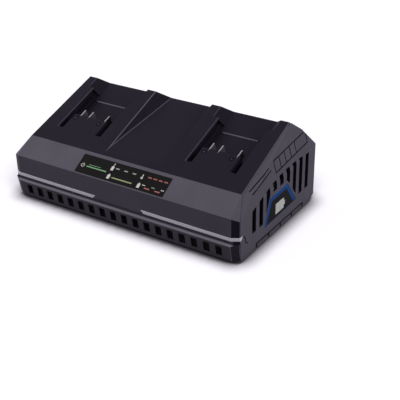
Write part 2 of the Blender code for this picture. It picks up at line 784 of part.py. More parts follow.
def skirt_cutter():
    """Engraved comb: a level line along the skirt with a tick at every step down to the floor of the tray."""
    side = end_planes()["side"]
    front = FRONT + SKIRT_FRONT_MARGIN
    back = BACK - SKIRT_BACK_MARGIN
    high = SKIRT_HEIGHT + SKIRT_LINE
    field = facet_slab(side, [(front, 0.0), (front, high), (back, high), (back, 0.0)], LINE_DEPTH)
    pitch = (back - SKIRT_TICK - front) / SKIRT_STEPS
    plates = []
    for step in range(SKIRT_STEPS):
        end = front + (step + 1) * pitch
        start = end - pitch + SKIRT_TICK
        outline = [(start, -EMBED), (start, SKIRT_HEIGHT), (end, SKIRT_HEIGHT), (end, -EMBED)]
        plates.append(facet_slab(side, outline, 2.0 * LINE_DEPTH))
    return cut(field, joined(plates))


def hook_cutter():
    """Engraved bent line behind the tip of the light bar."""
    points = [Vector((FRONT + setback, z)) for setback, z in zip(HOOK_SETBACKS, HOOK_HEIGHTS)]
    above = []
    below = []
    for before, point, after in zip(points[:1] + points, points, points[1:] + points[-1:]):
        way = (after - before).normalized()
        out = Vector((-way.y, way.x)) * LINE_WIDTH / 2
        above.append(tuple(point + out))
        below.append(tuple(point - out))
    return facet_slab(end_planes()["side"], above + below[::-1], LINE_DEPTH)


def make_right_end_cover():
    cover = keep(shell(), end_block(-GAP / 2, FLOOR_TOP + GAP))
    cover = cut(cover, bar_block(GAP))
    slots = [extruded(slot_outline(i), END - 4.0 * WALL, END + WALL) for i in range(SLOT_COUNT)]
    cover = cut(cover, placed(joined(slots), across()))
    deep = END - BADGE_THICKNESS - GAP
    recess = extruded(inset_outline(badge_outline(), -GAP), deep, END + WALL)
    cover = cut(cover, placed(recess, across()))
    cover = cut(cover, ladder_cutter(), skirt_cutter(), hook_cutter())
    for setbacks, heights in zip(STRIPE_SETBACKS, STRIPE_HEIGHTS):
        start, end = [(FRONT + setback, z) for setback, z in zip(setbacks, heights)]
        cover = cut(cover, *stripe_cutters(start, end))
    return cover


def make_right_badge():
    return placed(extruded(badge_outline(), END - BADGE_THICKNESS, END), across())


def make_status_label():
    half = LABEL_HALF - GAP
    low = GAP - LABEL_RECESS
    plate = box((-half, LABEL_TOP + GAP, low), (half, LABEL_TOP + LABEL_HEIGHT - GAP, low + LABEL_THICKNESS))
    return placed(plate, slope_frame())


# Base tray

def front_vents():
    first = -VENT_PITCH * (VENT_COUNT - 1) / 2
    vents = []
    for index in range(VENT_COUNT):
        x = first + index * VENT_PITCH
        low = (x - VENT_WIDTH / 2, FRONT - WALL, VENT_BOTTOM)
        vents.append(box(low, (x + VENT_WIDTH / 2, FRONT + 4.0 * WALL, VENT_BOTTOM + VENT_HEIGHT)))
    return joined(vents)


def standoffs():
    return [(x, y) for x in (-STANDOFF_X, STANDOFF_X) for y in (STANDOFF_FRONT, STANDOFF_BACK)]


def fan_ribs():
    """Two low ribs that hold the fan frame upright between them."""
    near = FAN_THICKNESS / 2 + GAP
    far = near + FAN_RIB
    half = FAN_SIZE / 2
    low = FLOOR_TOP - EMBED
    high = FLOOR_TOP + FAN_RIB_HEIGHT
    return joined([
        box((FAN_X - far, -half, low), (FAN_X - near, half, high)),
        box((FAN_X + near, -half, low), (FAN_X + far, half, high)),
    ])


def inlet_back():
    return BACK - INLET_SETBACK


def make_base_tray():
    tray = keep(shell(), box((-REACH, -REACH, 0.0), (REACH, REACH, SEAM_HEIGHT - GAP / 2)))
    tray = cut(tray, box((-REACH, -REACH, BAR_BOTTOM - GAP), (REACH, DECK_FRONT, REACH)))
    tray = cut(tray, both(end_block(GAP / 2, FLOOR_TOP)), both(skirt_cutter()))
    top = BAR_BOTTOM - GAP
    shadow = box((-REACH, -REACH, top - SHADOW_GROOVE), (REACH, FACE + SHADOW_DEPTH, REACH))
    tray = cut(tray, shadow, front_vents())
    low = FLOOR_TOP - EMBED
    tray = weld(tray, joined([cylinder((x, y, low), (x, y, POST_TOP), POST_RADIUS) for x, y in posts()]))
    seat = BOARD_BOTTOM - GAP
    stands = [cylinder((x, y, low), (x, y, seat), STANDOFF_RADIUS, 16) for x, y in standoffs()]
    tray = weld(tray, joined(stands), fan_ribs())
    half = INLET_WIDTH / 2 + GAP
    shelf_front = inlet_back() - INLET_LENGTH
    shelf = box((INLET_X - half, shelf_front, low), (INLET_X + half, BACK - 2.0 * WALL, INLET_BOTTOM - GAP))
    window_low = (INLET_X - half, BACK - 4.0 * WALL, INLET_BOTTOM - GAP)
    window = box(window_low, (INLET_X + half, REACH, INLET_BOTTOM + INLET_HEIGHT + GAP))
    tray = cut(weld(tray, shelf), window)
    shank = CASE_SHANK / 2 + GAP
    head = CASE_HEAD / 2 + GAP
    head_top = FLOOR + CASE_HEAD_INSET + CASE_HEAD_HEIGHT + GAP
    tray = cut(tray, joined([cylinder((x, y, -WALL), (x, y, REACH), shank) for x, y in posts()]))
    tray = cut(tray, joined([cylinder((x, y, -WALL), (x, y, head_top), head) for x, y in posts()]))
    pilot = BOARD_SHANK / 2 + GAP
    start = STAND - BOARD_THICKNESS - BOARD_SCREW_DROP - 2.0 * GAP
    return cut(tray, joined([cylinder((x, y, start), (x, y, REACH), pilot, 16) for x, y in standoffs()]))


# Contacts

def blade_bounds():
    """Front, step and back of a blade along the deck."""
    step = TONGUE_BACK - WALL
    return step - BLADE_TAIL, step, TONGUE_BACK + BLADE_REACH


def make_blade(x):
    tail, step, tip = blade_bounds()
    outline = [
        (tail, -BLADE_BOTTOM),
        (tail, -BLADE_TOP - BLADE_SHOULDER),
        (step, -BLADE_TOP - BLADE_SHOULDER),
        (step, -BLADE_TOP),
        (tip, -BLADE_TOP),
        (tip, -BLADE_BOTTOM),
    ]
    half = BLADE_THICKNESS / 2
    return placed(placed(extruded(outline, -half, half), across()), deck_frame(x))


def make_terminal_block(bay):
    half = TONGUE_HALF - WALL / 2 - GAP
    front = BAY_FRONT + WALL + GAP
    back = TONGUE_BACK - WALL - GAP
    block = box((-half, front, -BLOCK_DEPTH), (half, back, -WALL - GAP))
    tail = blade_bounds()[0]
    slot = BLADE_THICKNESS / 2 + GAP
    high = -BLADE_TOP - BLADE_SHOULDER + GAP
    slots = []
    for x in BLADE_PLACES.values():
        slots.append(box((x - slot, tail - GAP, -BLADE_BOTTOM - GAP), (x + slot, TONGUE_BACK, high)))
    return placed(cut(block, joined(slots)), deck_frame(bay))


def make_lead(bay):
    """Lead from under the terminal block, straight at first and then down to the board."""
    middle = (BAY_FRONT + TONGUE_BACK) / 2
    place = deck_frame(bay)
    top = place @ Vector((0.0, middle, -BLOCK_DEPTH - GAP))
    bend = place @ Vector((0.0, middle, -BLOCK_DEPTH - GAP - LEAD_DROP))
    foot = Vector((bend.x, bend.y, STAND))
    return tube([top, bend, foot], LEAD_RADIUS)


# Main board

def standing_box(x, y, size):
    w, d, h = size
    return box((x - w / 2, y - d / 2, STAND), (x + w / 2, y + d / 2, STAND + h))


def standing_can(x, y, radius, height):
    return cylinder((x, y, STAND), (x, y, STAND + height), radius)


def make_main_board():
    board = box((-BOARD_HALF, BOARD_FRONT, BOARD_BOTTOM), (BOARD_HALF, BOARD_BACK, BOARD_TOP))
    wide = POST_RADIUS + GAP
    narrow = BOARD_SHANK / 2 + GAP
    holes = [cylinder((x, y, 0.0), (x, y, REACH), wide) for x, y in posts()]
    holes += [cylinder((x, y, 0.0), (x, y, REACH), narrow, 16) for x, y in standoffs()]
    return cut(board, joined(holes))


def make_transformer_core():
    core = standing_box(CORE_X, CORE_Y, (CORE_WIDTH, CORE_DEPTH, CORE_HEIGHT))
    edge = CORE_WIDTH / 2 - CORE_LEG
    low = STAND + CORE_LEG
    high = STAND + CORE_HEIGHT - CORE_LEG
    deep = CORE_Y + CORE_DEPTH
    near = CORE_Y - CORE_DEPTH
    return cut(core, joined([
        box((CORE_X - edge, near, low), (CORE_X - CORE_MIDDLE / 2, deep, high)),
        box((CORE_X + CORE_MIDDLE / 2, near, low), (CORE_X + edge, deep, high)),
    ]))


def make_transformer_winding():
    half = CORE_WIDTH / 2 - CORE_LEG - GAP
    depth = CORE_DEPTH / 2 + WINDING_MARGIN
    low = STAND + CORE_LEG + GAP
    high = STAND + CORE_HEIGHT - CORE_LEG - GAP
    coil = box((CORE_X - half, CORE_Y - depth, low), (CORE_X + half, CORE_Y + depth, high))
    hole = CORE_MIDDLE / 2 + GAP
    deep = CORE_DEPTH / 2 + GAP
    return cut(coil, box((CORE_X - hole, CORE_Y - deep, 0.0), (CORE_X + hole, CORE_Y + deep, REACH)))


def make_heat_sink(face, side):
    """Upright plate with its flat face at one place in X and fins on the other side."""
    back = face - side * SINK_PLATE
    end = back - side * SINK_FIN
    low, high = sorted((face, back))
    sink = box((low, SINK_FRONT, STAND), (high, SINK_BACK, STAND + SINK_HEIGHT))
    low, high = sorted((back + side * EMBED, end))
    pitch = (SINK_BACK - SINK_FRONT - SINK_FIN_THICKNESS) / (SINK_FINS - 1)
    fins = []
    for index in range(SINK_FINS):
        y = SINK_FRONT + index * pitch
        fins.append(box((low, y, STAND), (high, y + SINK_FIN_THICKNESS, STAND + SINK_HEIGHT)))
    return weld(sink, joined(fins))


def make_package(face, side):
    """Power device on a heat sink's face, with three legs to the board."""
    near = face + side * GAP
    far = near + side * PACKAGE_THICKNESS
    low, high = sorted((near, far))
    middle = (SINK_FRONT + SINK_BACK) / 2
    bottom = STAND + PACKAGE_LEGS
    half = PACKAGE_WIDTH / 2
    case = box((low, middle - half, bottom), (high, middle + half, bottom + PACKAGE_HEIGHT))
    legs = []
    thick = PACKAGE_THICKNESS / 10
    x = (low + high) / 2
    for y in (middle - half / 2, middle, middle + half / 2):
        legs.append(box((x - thick, y - thick, STAND), (x + thick, y + thick, bottom + EMBED)))
    return weld(case, joined(legs))


def make_fuse():
    x, y = FUSE_PLACE
    z = STAND + FUSE_RADIUS
    half = FUSE_LENGTH / 2
    return cylinder((x - half, y, z), (x + half, y, z), FUSE_RADIUS, 16)


# Indicator board

def make_indicator_board():
    low = -INDICATOR_DEPTH - BOARD_THICKNESS
    end = INDICATOR_TOP + INDICATOR_HEIGHT
    board = box((-INDICATOR_HALF, INDICATOR_TOP, low), (INDICATOR_HALF, end, -INDICATOR_DEPTH))
    return placed(board, slope_frame())


def make_led(x):
    middle = INDICATOR_TOP + INDICATOR_HEIGHT / 2
    low = (x, middle, GAP - INDICATOR_DEPTH)
    high = (x, middle, -LABEL_RECESS)
    return placed(cylinder(low, high, LED_RADIUS, 16), slope_frame())


# Mains inlet

def rounded_slot(width, height, low, high, middle_z):
    """Upright slot with round ends in front view, running along Y."""
    radius = height / 2
    outline = []
    for side in (1.0, -1.0):
        centre = INLET_X + side * (width / 2 - radius)
        for step in range(13):
            angle = math.pi / 2 - math.pi * step / 12
            x = centre + side * radius * math.cos(angle)
            outline.append((x, middle_z + side * radius * math.sin(angle)))
    return placed(extruded(outline, low, high), along())


def make_mains_inlet():
    back = inlet_back()
    half = INLET_WIDTH / 2
    middle = INLET_BOTTOM + INLET_HEIGHT / 2
    low = (INLET_X - half, back - INLET_LENGTH, INLET_BOTTOM)
    inlet = box(low, (INLET_X + half, back, INLET_BOTTOM + INLET_HEIGHT))
    inlet = cut(inlet, rounded_slot(SOCKET_WIDTH, SOCKET_HEIGHT, back - SOCKET_DEPTH, back + WALL, middle))
    end = back - SOCKET_DEPTH
    bores = []
    for x in (INLET_X - PIN_SPREAD, INLET_X + PIN_SPREAD):
        start = (x, end - PIN_ROOT - GAP, middle)
        bores.append(cylinder(start, (x, end + EMBED, middle), PIN_RADIUS + GAP, 16))
    return cut(inlet, joined(bores))


def make_inlet_pin(side):
    x = INLET_X + side * PIN_SPREAD
    end = inlet_back() - SOCKET_DEPTH
    z = INLET_BOTTOM + INLET_HEIGHT / 2
    return cylinder((x, end - PIN_ROOT, z), (x, end + PIN_LENGTH, z), PIN_RADIUS, 16)


# Cooling fan

def fan_cylinder(start, end, radius, segments=24):
    centre = FAN_CENTRE
    return cylinder((start, centre.y, centre.z), (end, centre.y, centre.z), radius, segments)


def make_fan_frame():
    c = FAN_CENTRE
    half = FAN_SIZE / 2
    left = FAN_X - FAN_THICKNESS / 2
    right = FAN_X + FAN_THICKNESS / 2
    housing = box((left, c.y - half, c.z - half), (right, c.y + half, c.z + half))
    housing = cut(housing, fan_cylinder(left - WALL, right + WALL, FAN_BORE, 36))
    strut = FAN_STRUT / 2
    reach = FAN_BORE + EMBED
    end = left + FAN_BACK
    upright = box((left, c.y - strut, c.z - reach), (end, c.y + strut, c.z + reach))
    level = box((left, c.y - reach, c.z - strut), (end, c.y + reach, c.z + strut))
    hub = fan_cylinder(left, end, FAN_HUB)
    centre = weld(hub, upright, level)
    housing = weld(housing, centre)
    return cut(housing, fan_cylinder(left - WALL, right, FAN_SHAFT + GAP, 16))


def make_fan_rotor():
    left = FAN_X - FAN_THICKNESS / 2 + FAN_BACK + GAP
    right = FAN_X + FAN_THICKNESS / 2 - 2.0 * GAP
    rotor = fan_cylinder(left, right, FAN_HUB)
    middle = (left + right) / 2
    tip = FAN_BORE - FAN_TIP_GAP
    half = min(FAN_BLADE_CHORD, (right - left) / math.cos(FAN_BLADE_PITCH)) / 2 - FAN_BLADE_THICKNESS / 2
    for index in range(FAN_BLADES):
        thick = FAN_BLADE_THICKNESS / 2
        blade = box((-half, -thick, FAN_HUB - EMBED), (half, thick, tip - EMBED / 2))
        lean = Matrix.Rotation(FAN_BLADE_PITCH, 4, "Z")
        turn = Matrix.Rotation(2.0 * math.pi * index / FAN_BLADES, 4, "X")
        place = Matrix.Translation((middle, FAN_CENTRE.y, FAN_CENTRE.z))
        rotor = weld(rotor, placed(blade, place @ turn @ lean))
    start = left - FAN_BACK
    return weld(rotor, fan_cylinder(start, left + EMBED, FAN_SHAFT, 16))


# Screws and feet

def make_case_screw(x, y):
    low = FLOOR + CASE_HEAD_INSET
    neck = low + CASE_HEAD_HEIGHT
    head = cylinder((x, y, low), (x, y, neck), CASE_HEAD / 2)
    return weld(head, cylinder((x, y, neck - EMBED), (x, y, neck + CASE_LENGTH), CASE_SHANK / 2))


def make_board_screw(x, y):
    low = STAND - BOARD_THICKNESS - BOARD_SCREW_DROP
    head = cylinder((x, y, STAND), (x, y, STAND + BOARD_HEAD_HEIGHT), BOARD_HEAD / 2, 16)
    return weld(head, cylinder((x, y, low), (x, y, STAND + EMBED), BOARD_SHANK / 2, 16))


def make_foot(x, y):
    return cylinder((x, y, 0.0), (x, y, FOOT_HEIGHT), FOOT_RADIUS)


# Finishes and objects

FINISHES = {
    "deck_plastic": ((0.024, 0.022, 0.027), 0.0, 0.5),
    "case_plastic": ((0.070, 0.066, 0.075), 0.0, 0.5),
    "light_guide": ((0.38, 0.36, 0.42), 0.0, 0.3),
    "label_film": ((0.010, 0.010, 0.010), 0.0, 0.25),
    "blue_plastic": ((0.010, 0.075, 0.30), 0.0, 0.35),
    "black_plastic": ((0.012, 0.012, 0.013), 0.0, 0.5),
    "contact_metal": ((0.55, 0.56, 0.58), 1.0, 0.3),
    "circuit_board": ((0.03, 0.14, 0.06), 0.0, 0.5),
    "ferrite": ((0.05, 0.05, 0.055), 0.0, 0.6),
    "copper_wire": ((0.55, 0.22, 0.09), 0.6, 0.35),
    "aluminium": ((0.60, 0.61, 0.63), 1.0, 0.4),
    "sleeve": ((0.03, 0.04, 0.09), 0.0, 0.4),
    "rubber": ((0.015, 0.015, 0.015), 0.0, 0.85),
    "steel": ((0.45, 0.45, 0.46), 1.0, 0.35),
    "led_lens": ((0.75, 0.78, 0.72), 0.0, 0.2),
    "lead_jacket": ((0.30, 0.02, 0.02), 0.0, 0.5),
    "fuse_body": ((0.62, 0.58, 0.50), 0.0, 0.4),
}


def clear_scene():
    for item in list(bpy.data.objects):
        bpy.data.objects.remove(item, do_unlink=True)


def make_material(name, finish):
    colour, metallic, roughness = FINISHES[finish]
    made = bpy.data.materials.new(name + "_" + finish)
    made.use_nodes = True
    shader = made.node_tree.nodes["Principled BSDF"]
    shader.inputs["Base Color"].default_value = (*colour, 1.0)
    shader.inputs["Metallic"].default_value = metallic
    shader.inputs["Roughness"].default_value = roughness
    made.diffuse_color = (*colour, 1.0)
    return made


def add_part(parts, name, mesh, finish, origin=None):
    """Object of its own for one piece, with its origin at the place given."""
    if origin is not None:
        mesh.transform(Matrix.Translation(-origin))
    mesh.name = name
    mesh.shade_smooth()
    mesh.set_sharp_from_angle(angle=math.radians(30.0))
    mesh.materials.clear()
    mesh.materials.append(make_material(name, finish))
    item = bpy.data.objects.new(name, mesh)
    if origin is not None:
        item.location = origin
    parts.objects.link(item)


def add_shells(parts):
    add_part(parts, "top_cover", make_top_cover(), "deck_plastic")
    add_part(parts, "front_fascia", make_front_fascia(), "case_plastic")
    add_part(parts, "base_tray", make_base_tray(), "case_plastic")
    add_part(parts, "status_label", make_status_label(), "label_film")
    for name, maker, finish in (
            ("end_cover", make_right_end_cover, "case_plastic"),
            ("light_bar", make_right_light_bar, "light_guide"),
            ("badge", make_right_badge, "blue_plastic")):
        mesh = maker()
        add_part(parts, "left_" + name, mirrored(mesh), finish)
        add_part(parts, "right_" + name, mesh, finish)


def add_contacts(parts):
    for side, bay in BAYS.items():
        add_part(parts, side + "_terminal_block", make_terminal_block(bay), "black_plastic")
        add_part(parts, side + "_lead", make_lead(bay), "lead_jacket")
        for name, x in BLADE_PLACES.items():
            add_part(parts, f"{side}_{name}_blade", make_blade(bay + x), "contact_metal")


def add_electronics(parts):
    add_part(parts, "main_pcb", make_main_board(), "circuit_board")
    add_part(parts, "transformer_core", make_transformer_core(), "ferrite")
    add_part(parts, "transformer_winding", make_transformer_winding(), "copper_wire")
    add_part(parts, "bulk_capacitor", standing_can(*BULK_PLACE, BULK_RADIUS, BULK_HEIGHT), "sleeve")
    for index, y in enumerate((OUTPUT_FRONT, OUTPUT_BACK), 1):
        can = standing_can(OUTPUT_X, y, OUTPUT_RADIUS, OUTPUT_HEIGHT)
        add_part(parts, f"output_capacitor_{index}", can, "sleeve")
    add_part(parts, "line_choke", standing_box(*CHOKE_PLACE, CHOKE_SIZE), "copper_wire")
    add_part(parts, "fuse", make_fuse(), "fuse_body")
    add_part(parts, "primary_heat_sink", make_heat_sink(PRIMARY_SINK_X, 1.0), "aluminium")
    add_part(parts, "power_transistor", make_package(PRIMARY_SINK_X, 1.0), "black_plastic")
    add_part(parts, "secondary_heat_sink", make_heat_sink(SECONDARY_SINK_X, 1.0), "aluminium")
    add_part(parts, "rectifier", make_package(SECONDARY_SINK_X, 1.0), "black_plastic")
    add_part(parts, "indicator_pcb", make_indicator_board(), "circuit_board")
    for index, x in enumerate(LED_PLACES, 1):
        add_part(parts, f"indicator_led_{index}", make_led(x), "led_lens")


def add_inlet_and_fan(parts):
    add_part(parts, "mains_inlet", make_mains_inlet(), "black_plastic")
    for side, sign in SIDES.items():
        add_part(parts, "inlet_pin_" + side, make_inlet_pin(sign), "contact_metal")
    add_part(parts, "fan_frame", make_fan_frame(), "black_plastic")
    add_part(parts, "fan_rotor", make_fan_rotor(), "black_plastic", FAN_CENTRE)


def add_fasteners(parts):
    for index, (x, y) in enumerate(posts(), 1):
        add_part(parts, f"case_screw_{index}", make_case_screw(x, y), "steel")
    for index, (x, y) in enumerate(standoffs(), 1):
        add_part(parts, f"board_screw_{index}", make_board_screw(x, y), "steel")
    feet = [(x, y) for x in (-FOOT_X, FOOT_X) for y in (-FOOT_Y, FOOT_Y)]
    for index, (x, y) in enumerate(feet, 1):
        add_part(parts, f"rubber_foot_{index}", make_foot(x, y), "rubber")


def main():
    clear_scene()
    parts = bpy.data.collections.new("twin_bay_charger")
    bpy.context.scene.collection.children.link(parts)
    add_shells(parts)
    add_contacts(parts)
    add_electronics(parts)
    add_inlet_and_fan(parts)
    add_fasteners(parts)


main()
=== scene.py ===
"""Looks of a twin-bay charger for slide-on tool batteries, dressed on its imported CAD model."""

import logging  # noqa: E402
import math  # noqa: E402
from collections.abc import Callable, Iterable, Sequence  # noqa: E402
from dataclasses import dataclass, field  # noqa: E402
from enum import Enum, IntEnum  # noqa: E402
from typing import Any  # noqa: E402

import bmesh  # noqa: E402
import bpy  # noqa: E402
from bmesh.types import BMEdge, BMesh, BMFace  # noqa: E402
from bpy.types import Material, Mesh, Node, NodeSocket, NodeTree, Object  # noqa: E402
from mathutils import Matrix, Vector  # noqa: E402
from mathutils.geometry import intersect_point_line  # noqa: E402


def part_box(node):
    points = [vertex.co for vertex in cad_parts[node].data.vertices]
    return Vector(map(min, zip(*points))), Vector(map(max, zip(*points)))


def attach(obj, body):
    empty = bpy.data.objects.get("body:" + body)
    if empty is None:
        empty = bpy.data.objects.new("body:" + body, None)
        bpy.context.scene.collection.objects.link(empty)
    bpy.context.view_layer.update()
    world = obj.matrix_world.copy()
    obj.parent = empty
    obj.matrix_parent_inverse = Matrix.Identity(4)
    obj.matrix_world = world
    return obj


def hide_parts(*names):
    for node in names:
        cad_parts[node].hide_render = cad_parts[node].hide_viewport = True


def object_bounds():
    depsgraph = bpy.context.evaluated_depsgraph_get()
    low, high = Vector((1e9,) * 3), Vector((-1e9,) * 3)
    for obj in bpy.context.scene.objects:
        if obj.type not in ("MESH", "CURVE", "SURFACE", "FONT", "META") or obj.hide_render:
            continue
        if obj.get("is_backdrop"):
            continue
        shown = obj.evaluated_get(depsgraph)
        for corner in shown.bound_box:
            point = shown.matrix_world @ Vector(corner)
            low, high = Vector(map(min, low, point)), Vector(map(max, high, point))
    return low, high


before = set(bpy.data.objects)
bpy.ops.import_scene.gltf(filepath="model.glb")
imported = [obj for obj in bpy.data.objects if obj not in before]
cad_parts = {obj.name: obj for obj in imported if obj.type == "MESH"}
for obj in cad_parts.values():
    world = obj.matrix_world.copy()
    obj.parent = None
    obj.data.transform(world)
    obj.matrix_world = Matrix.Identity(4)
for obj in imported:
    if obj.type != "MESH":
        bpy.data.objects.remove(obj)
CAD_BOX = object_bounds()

LOG = logging.getLogger("charger")
MM = 0.001
HOUSING = "housing"

Outline = Sequence[tuple[float, float]]


class Side(Enum):
    """End of the charger, as the sign of its X."""

    LEFT = -1
    RIGHT = 1

    @property
    def word(self) -> str:
        """Word that the CAD nodes of this end start with."""
        return self.name.lower()


class Pattern(Enum):
    """Pattern that a finish shows."""

    SPARK_GRAIN = "spark grain"
    BRUSHED = "brushed"
    WOUND = "wound"
    COPPER_TRACKS = "copper tracks"


class Zone(IntEnum):
    """Zone of a moulding, as the place of its finish among the mesh's materials."""

    FACE = 0
    CORNER = 1
    WALL = 2


# Colours and shader nodes

# Brush marks are 25 times as long as they are wide
BRUSH_STRETCH = (0.04, 1.0, 1.0)
# The wave texture counts 20 radians to a unit: turns come out six times as coarse as their wire,
# so that they show
WAVE_RADIANS = 20.0
# Where the edge of a copper track starts and ends, as shares of a cell
TRACK_EDGE = (0.04, 0.09)
# Mean of grain times patches, and the range round it that runs from dark to pale
PATCH_MEAN = 0.25
PATCH_RANGE = (-0.15, 0.25)
# Places of the colours on a Mix node, which has their names twice
COLOUR_A, COLOUR_B, COLOUR_OUT = 6, 7, 2


def linear(code: str) -> tuple[float, float, float, float]:
    """Turn an sRGB hex colour into linear light.

    Args:
        code: Six hex digits, such as "2D2A30".

    Returns:
        Red, green, blue and an alpha of one.
    """
    parts = [int(code[i : i + 2], 16) / 255 for i in (0, 2, 4)]
    red, green, blue = (p / 12.92 if p <= 0.04045 else ((p + 0.055) / 1.055) ** 2.4 for p in parts)
    return red, green, blue, 1.0


def add_node(
    tree: NodeTree, kind: str, inputs: dict[str | int, Any] | None = None, **settings: Any
) -> Node:
    """Add one node with its settings, values and links.

    Args:
        tree: Tree that takes the node.
        kind: Blender's name of the node type.
        inputs: Value or output socket for each input, by name or place.
        settings: Properties of the node itself.

    Returns:
        The new node.
    """
    node = tree.nodes.new(kind)
    for name, value in settings.items():
        setattr(node, name, value)
    for key, value in (inputs or {}).items():
        if isinstance(value, NodeSocket):
            tree.links.new(value, node.inputs[key])
        else:
            node.inputs[key].default_value = value
    return node


def empty_material(name: str) -> Material:
    """Make a material with no nodes in its tree.

    Args:
        name: Name of the material.

    Returns:
        The new material.
    """
    material = bpy.data.materials.new(name)
    material.use_nodes = True
    material.node_tree.nodes.clear()
    return material


@dataclass(frozen=True)
class Finish:
    """Material as it left its process, with the pattern that the process gives it.

    Its edge colour is a painted highlight, shown where a face attribute marks rounded edges.
    """

    name: str
    colour: str
    # Colour of the painted highlight on rounded edges
    edge: str
    pattern: Pattern = Pattern.SPARK_GRAIN
    # Real spark grain is about 0.2 mm fine: it is drawn coarser, so that it shows
    pitch_mm: float = 1.1
    relief_mm: float = 0.05
    shade: float = 0.12
    patch_mm: float = 34.0
    bump: float = 0.35
    roughness: float = 0.5
    roughness_swing: float = 0.12
    metallic: float = 0.0
    specular: float = 0.35
    coat: float = 0.0
    coat_roughness: float = 0.18
    glow: float = 0.0
    scatter: float = 0.0
    scatter_mm: float = 1.5

    def pattern_height(self, tree: NodeTree, place: NodeSocket) -> NodeSocket:
        """Add the fine pattern.

        Args:
            tree: Tree of the material.
            place: Object coordinates in metres.

        Returns:
            Socket with the pattern's height from zero to one.
        """
        scale = 1.0 / (self.pitch_mm * MM)
        if self.pattern is Pattern.BRUSHED:
            along = {"Vector": place, "Scale": BRUSH_STRETCH}
            stretched = add_node(tree, "ShaderNodeMapping", along)
            noise = {"Vector": stretched.outputs[0], "Scale": scale, "Detail": 3.0}
            return add_node(tree, "ShaderNodeTexNoise", noise).outputs["Fac"]
        if self.pattern is Pattern.WOUND:
            turns = scale / WAVE_RADIANS
            wave = {"Vector": place, "Scale": turns, "Distortion": 0.2, "Detail": 1.0}
            return add_node(tree, "ShaderNodeTexWave", wave, bands_direction="Z").outputs["Fac"]
        if self.pattern is Pattern.COPPER_TRACKS:
            cells = {"Vector": place, "Scale": scale}
            square = {"feature": "DISTANCE_TO_EDGE", "distance": "CHEBYCHEV"}
            bricks = add_node(tree, "ShaderNodeTexVoronoi", cells, **square)
            start, end = TRACK_EDGE
            steps = {"Value": bricks.outputs["Distance"], "From Min": start, "From Max": end}
            return add_node(tree, "ShaderNodeMapRange", steps).outputs[0]
        noise = {"Vector": place, "Scale": scale, "Detail": 2.0, "Roughness": 0.6}
        return add_node(tree, "ShaderNodeTexNoise", noise).outputs["Fac"]

    def colours(
        self, tree: NodeTree, place: NodeSocket, height: NodeSocket, painted_highlight: NodeSocket
    ) -> NodeSocket:
        """Add the colour: broad uneven patches, the pattern's own shade and a painted highlight on
        edges.

        Args:
            tree: Tree of the material.
            place: Object coordinates in metres.
            height: Pattern's height.
            painted_highlight: One on edges that get the painted highlight.

        Returns:
            Socket with the colour.
        """
        base = linear(self.colour)[:3]
        swings = (1.0 - self.shade, 1.0 + self.shade)
        dark, pale = ((*(min(1.0, part * swing) for part in base), 1.0) for swing in swings)
        share = height
        if self.pattern is Pattern.SPARK_GRAIN:
            patch = {"Vector": place, "Scale": 1.0 / (self.patch_mm * MM), "Detail": 3.0}
            patches = add_node(tree, "ShaderNodeTexNoise", patch)
            both = {0: patches.outputs["Fac"], 1: height, 2: -PATCH_MEAN}
            uneven = add_node(tree, "ShaderNodeMath", both, operation="MULTIPLY_ADD")
            low, high = PATCH_RANGE
            steps = {"Value": uneven.outputs[0], "From Min": low, "From Max": high}
            share = add_node(tree, "ShaderNodeMapRange", steps).outputs[0]
        blend = {"data_type": "RGBA", "clamp_factor": True}
        shaded = {"Factor": share, COLOUR_A: dark, COLOUR_B: pale}
        mixed = add_node(tree, "ShaderNodeMix", shaded, **blend).outputs[COLOUR_OUT]
        edged = {"Factor": painted_highlight, COLOUR_A: mixed, COLOUR_B: linear(self.edge)}
        return add_node(tree, "ShaderNodeMix", edged, **blend).outputs[COLOUR_OUT]

    def material(self) -> Material:
        """Make the material of this finish, once.

        Returns:
            Blender material named after the finish.
        """
        found = bpy.data.materials.get(self.name)
        if found is not None:
            return found
        material = empty_material(self.name)
        tree = material.node_tree
        place = add_node(tree, "ShaderNodeTexCoord").outputs["Object"]
        painted_highlight = add_node(tree, "ShaderNodeAttribute", attribute_name="worn_edge").outputs["Fac"]
        height = self.pattern_height(tree, place)
        smooth = self.roughness * (1.0 - self.roughness_swing)
        rough = min(1.0, self.roughness * (1.0 + self.roughness_swing))
        shine = {"Value": height, "To Min": smooth, "To Max": rough}
        sheen = add_node(tree, "ShaderNodeMapRange", shine)
        relief = {"Strength": self.bump, "Distance": self.relief_mm * MM, "Height": height}
        shader = add_node(
            tree,
            "ShaderNodeBsdfPrincipled",
            {
                "Base Color": self.colours(tree, place, height, painted_highlight),
                "Roughness": sheen.outputs[0],
                "Normal": add_node(tree, "ShaderNodeBump", relief).outputs[0],
                "Metallic": self.metallic,
                "Specular IOR Level": self.specular,
                "Coat Weight": self.coat,
                "Coat Roughness": self.coat_roughness,
                # Painted glow, for a part that is no lamp
                "Emission Color": linear(self.colour),
                "Emission Strength": self.glow,
                "Subsurface Weight": self.scatter,
                # A milky filler scatters all colours alike
                "Subsurface Radius": (1.0, 1.0, 1.0),
                "Subsurface Scale": self.scatter_mm * MM,
            },
        )
        add_node(tree, "ShaderNodeOutputMaterial", {"Surface": shader.outputs[0]})
        return material


def ink(name: str, colour: str, specular: float = 0.35) -> Finish:
    """Ink of one even colour that stands a little proud."""
    return Finish(name, colour, colour, relief_mm=0.01, shade=0.05, specular=specular)


# The second colour of each finish is the painted highlight on its rounded edges
# ABS from a spark-eroded mould: no mirror image, only soft light on a fine grain
DECK_ABS = Finish("abs_spark_grained_charcoal", "2A2631", "7C7785", specular=0.025, roughness=0.6)
CASE_ABS = Finish("abs_spark_grained_grey", "696572", "75717E", specular=0.05, roughness=0.58)
TRAY_ABS = Finish("abs_spark_grained_slate", "636069", "9692A0", specular=0.06, roughness=0.58)
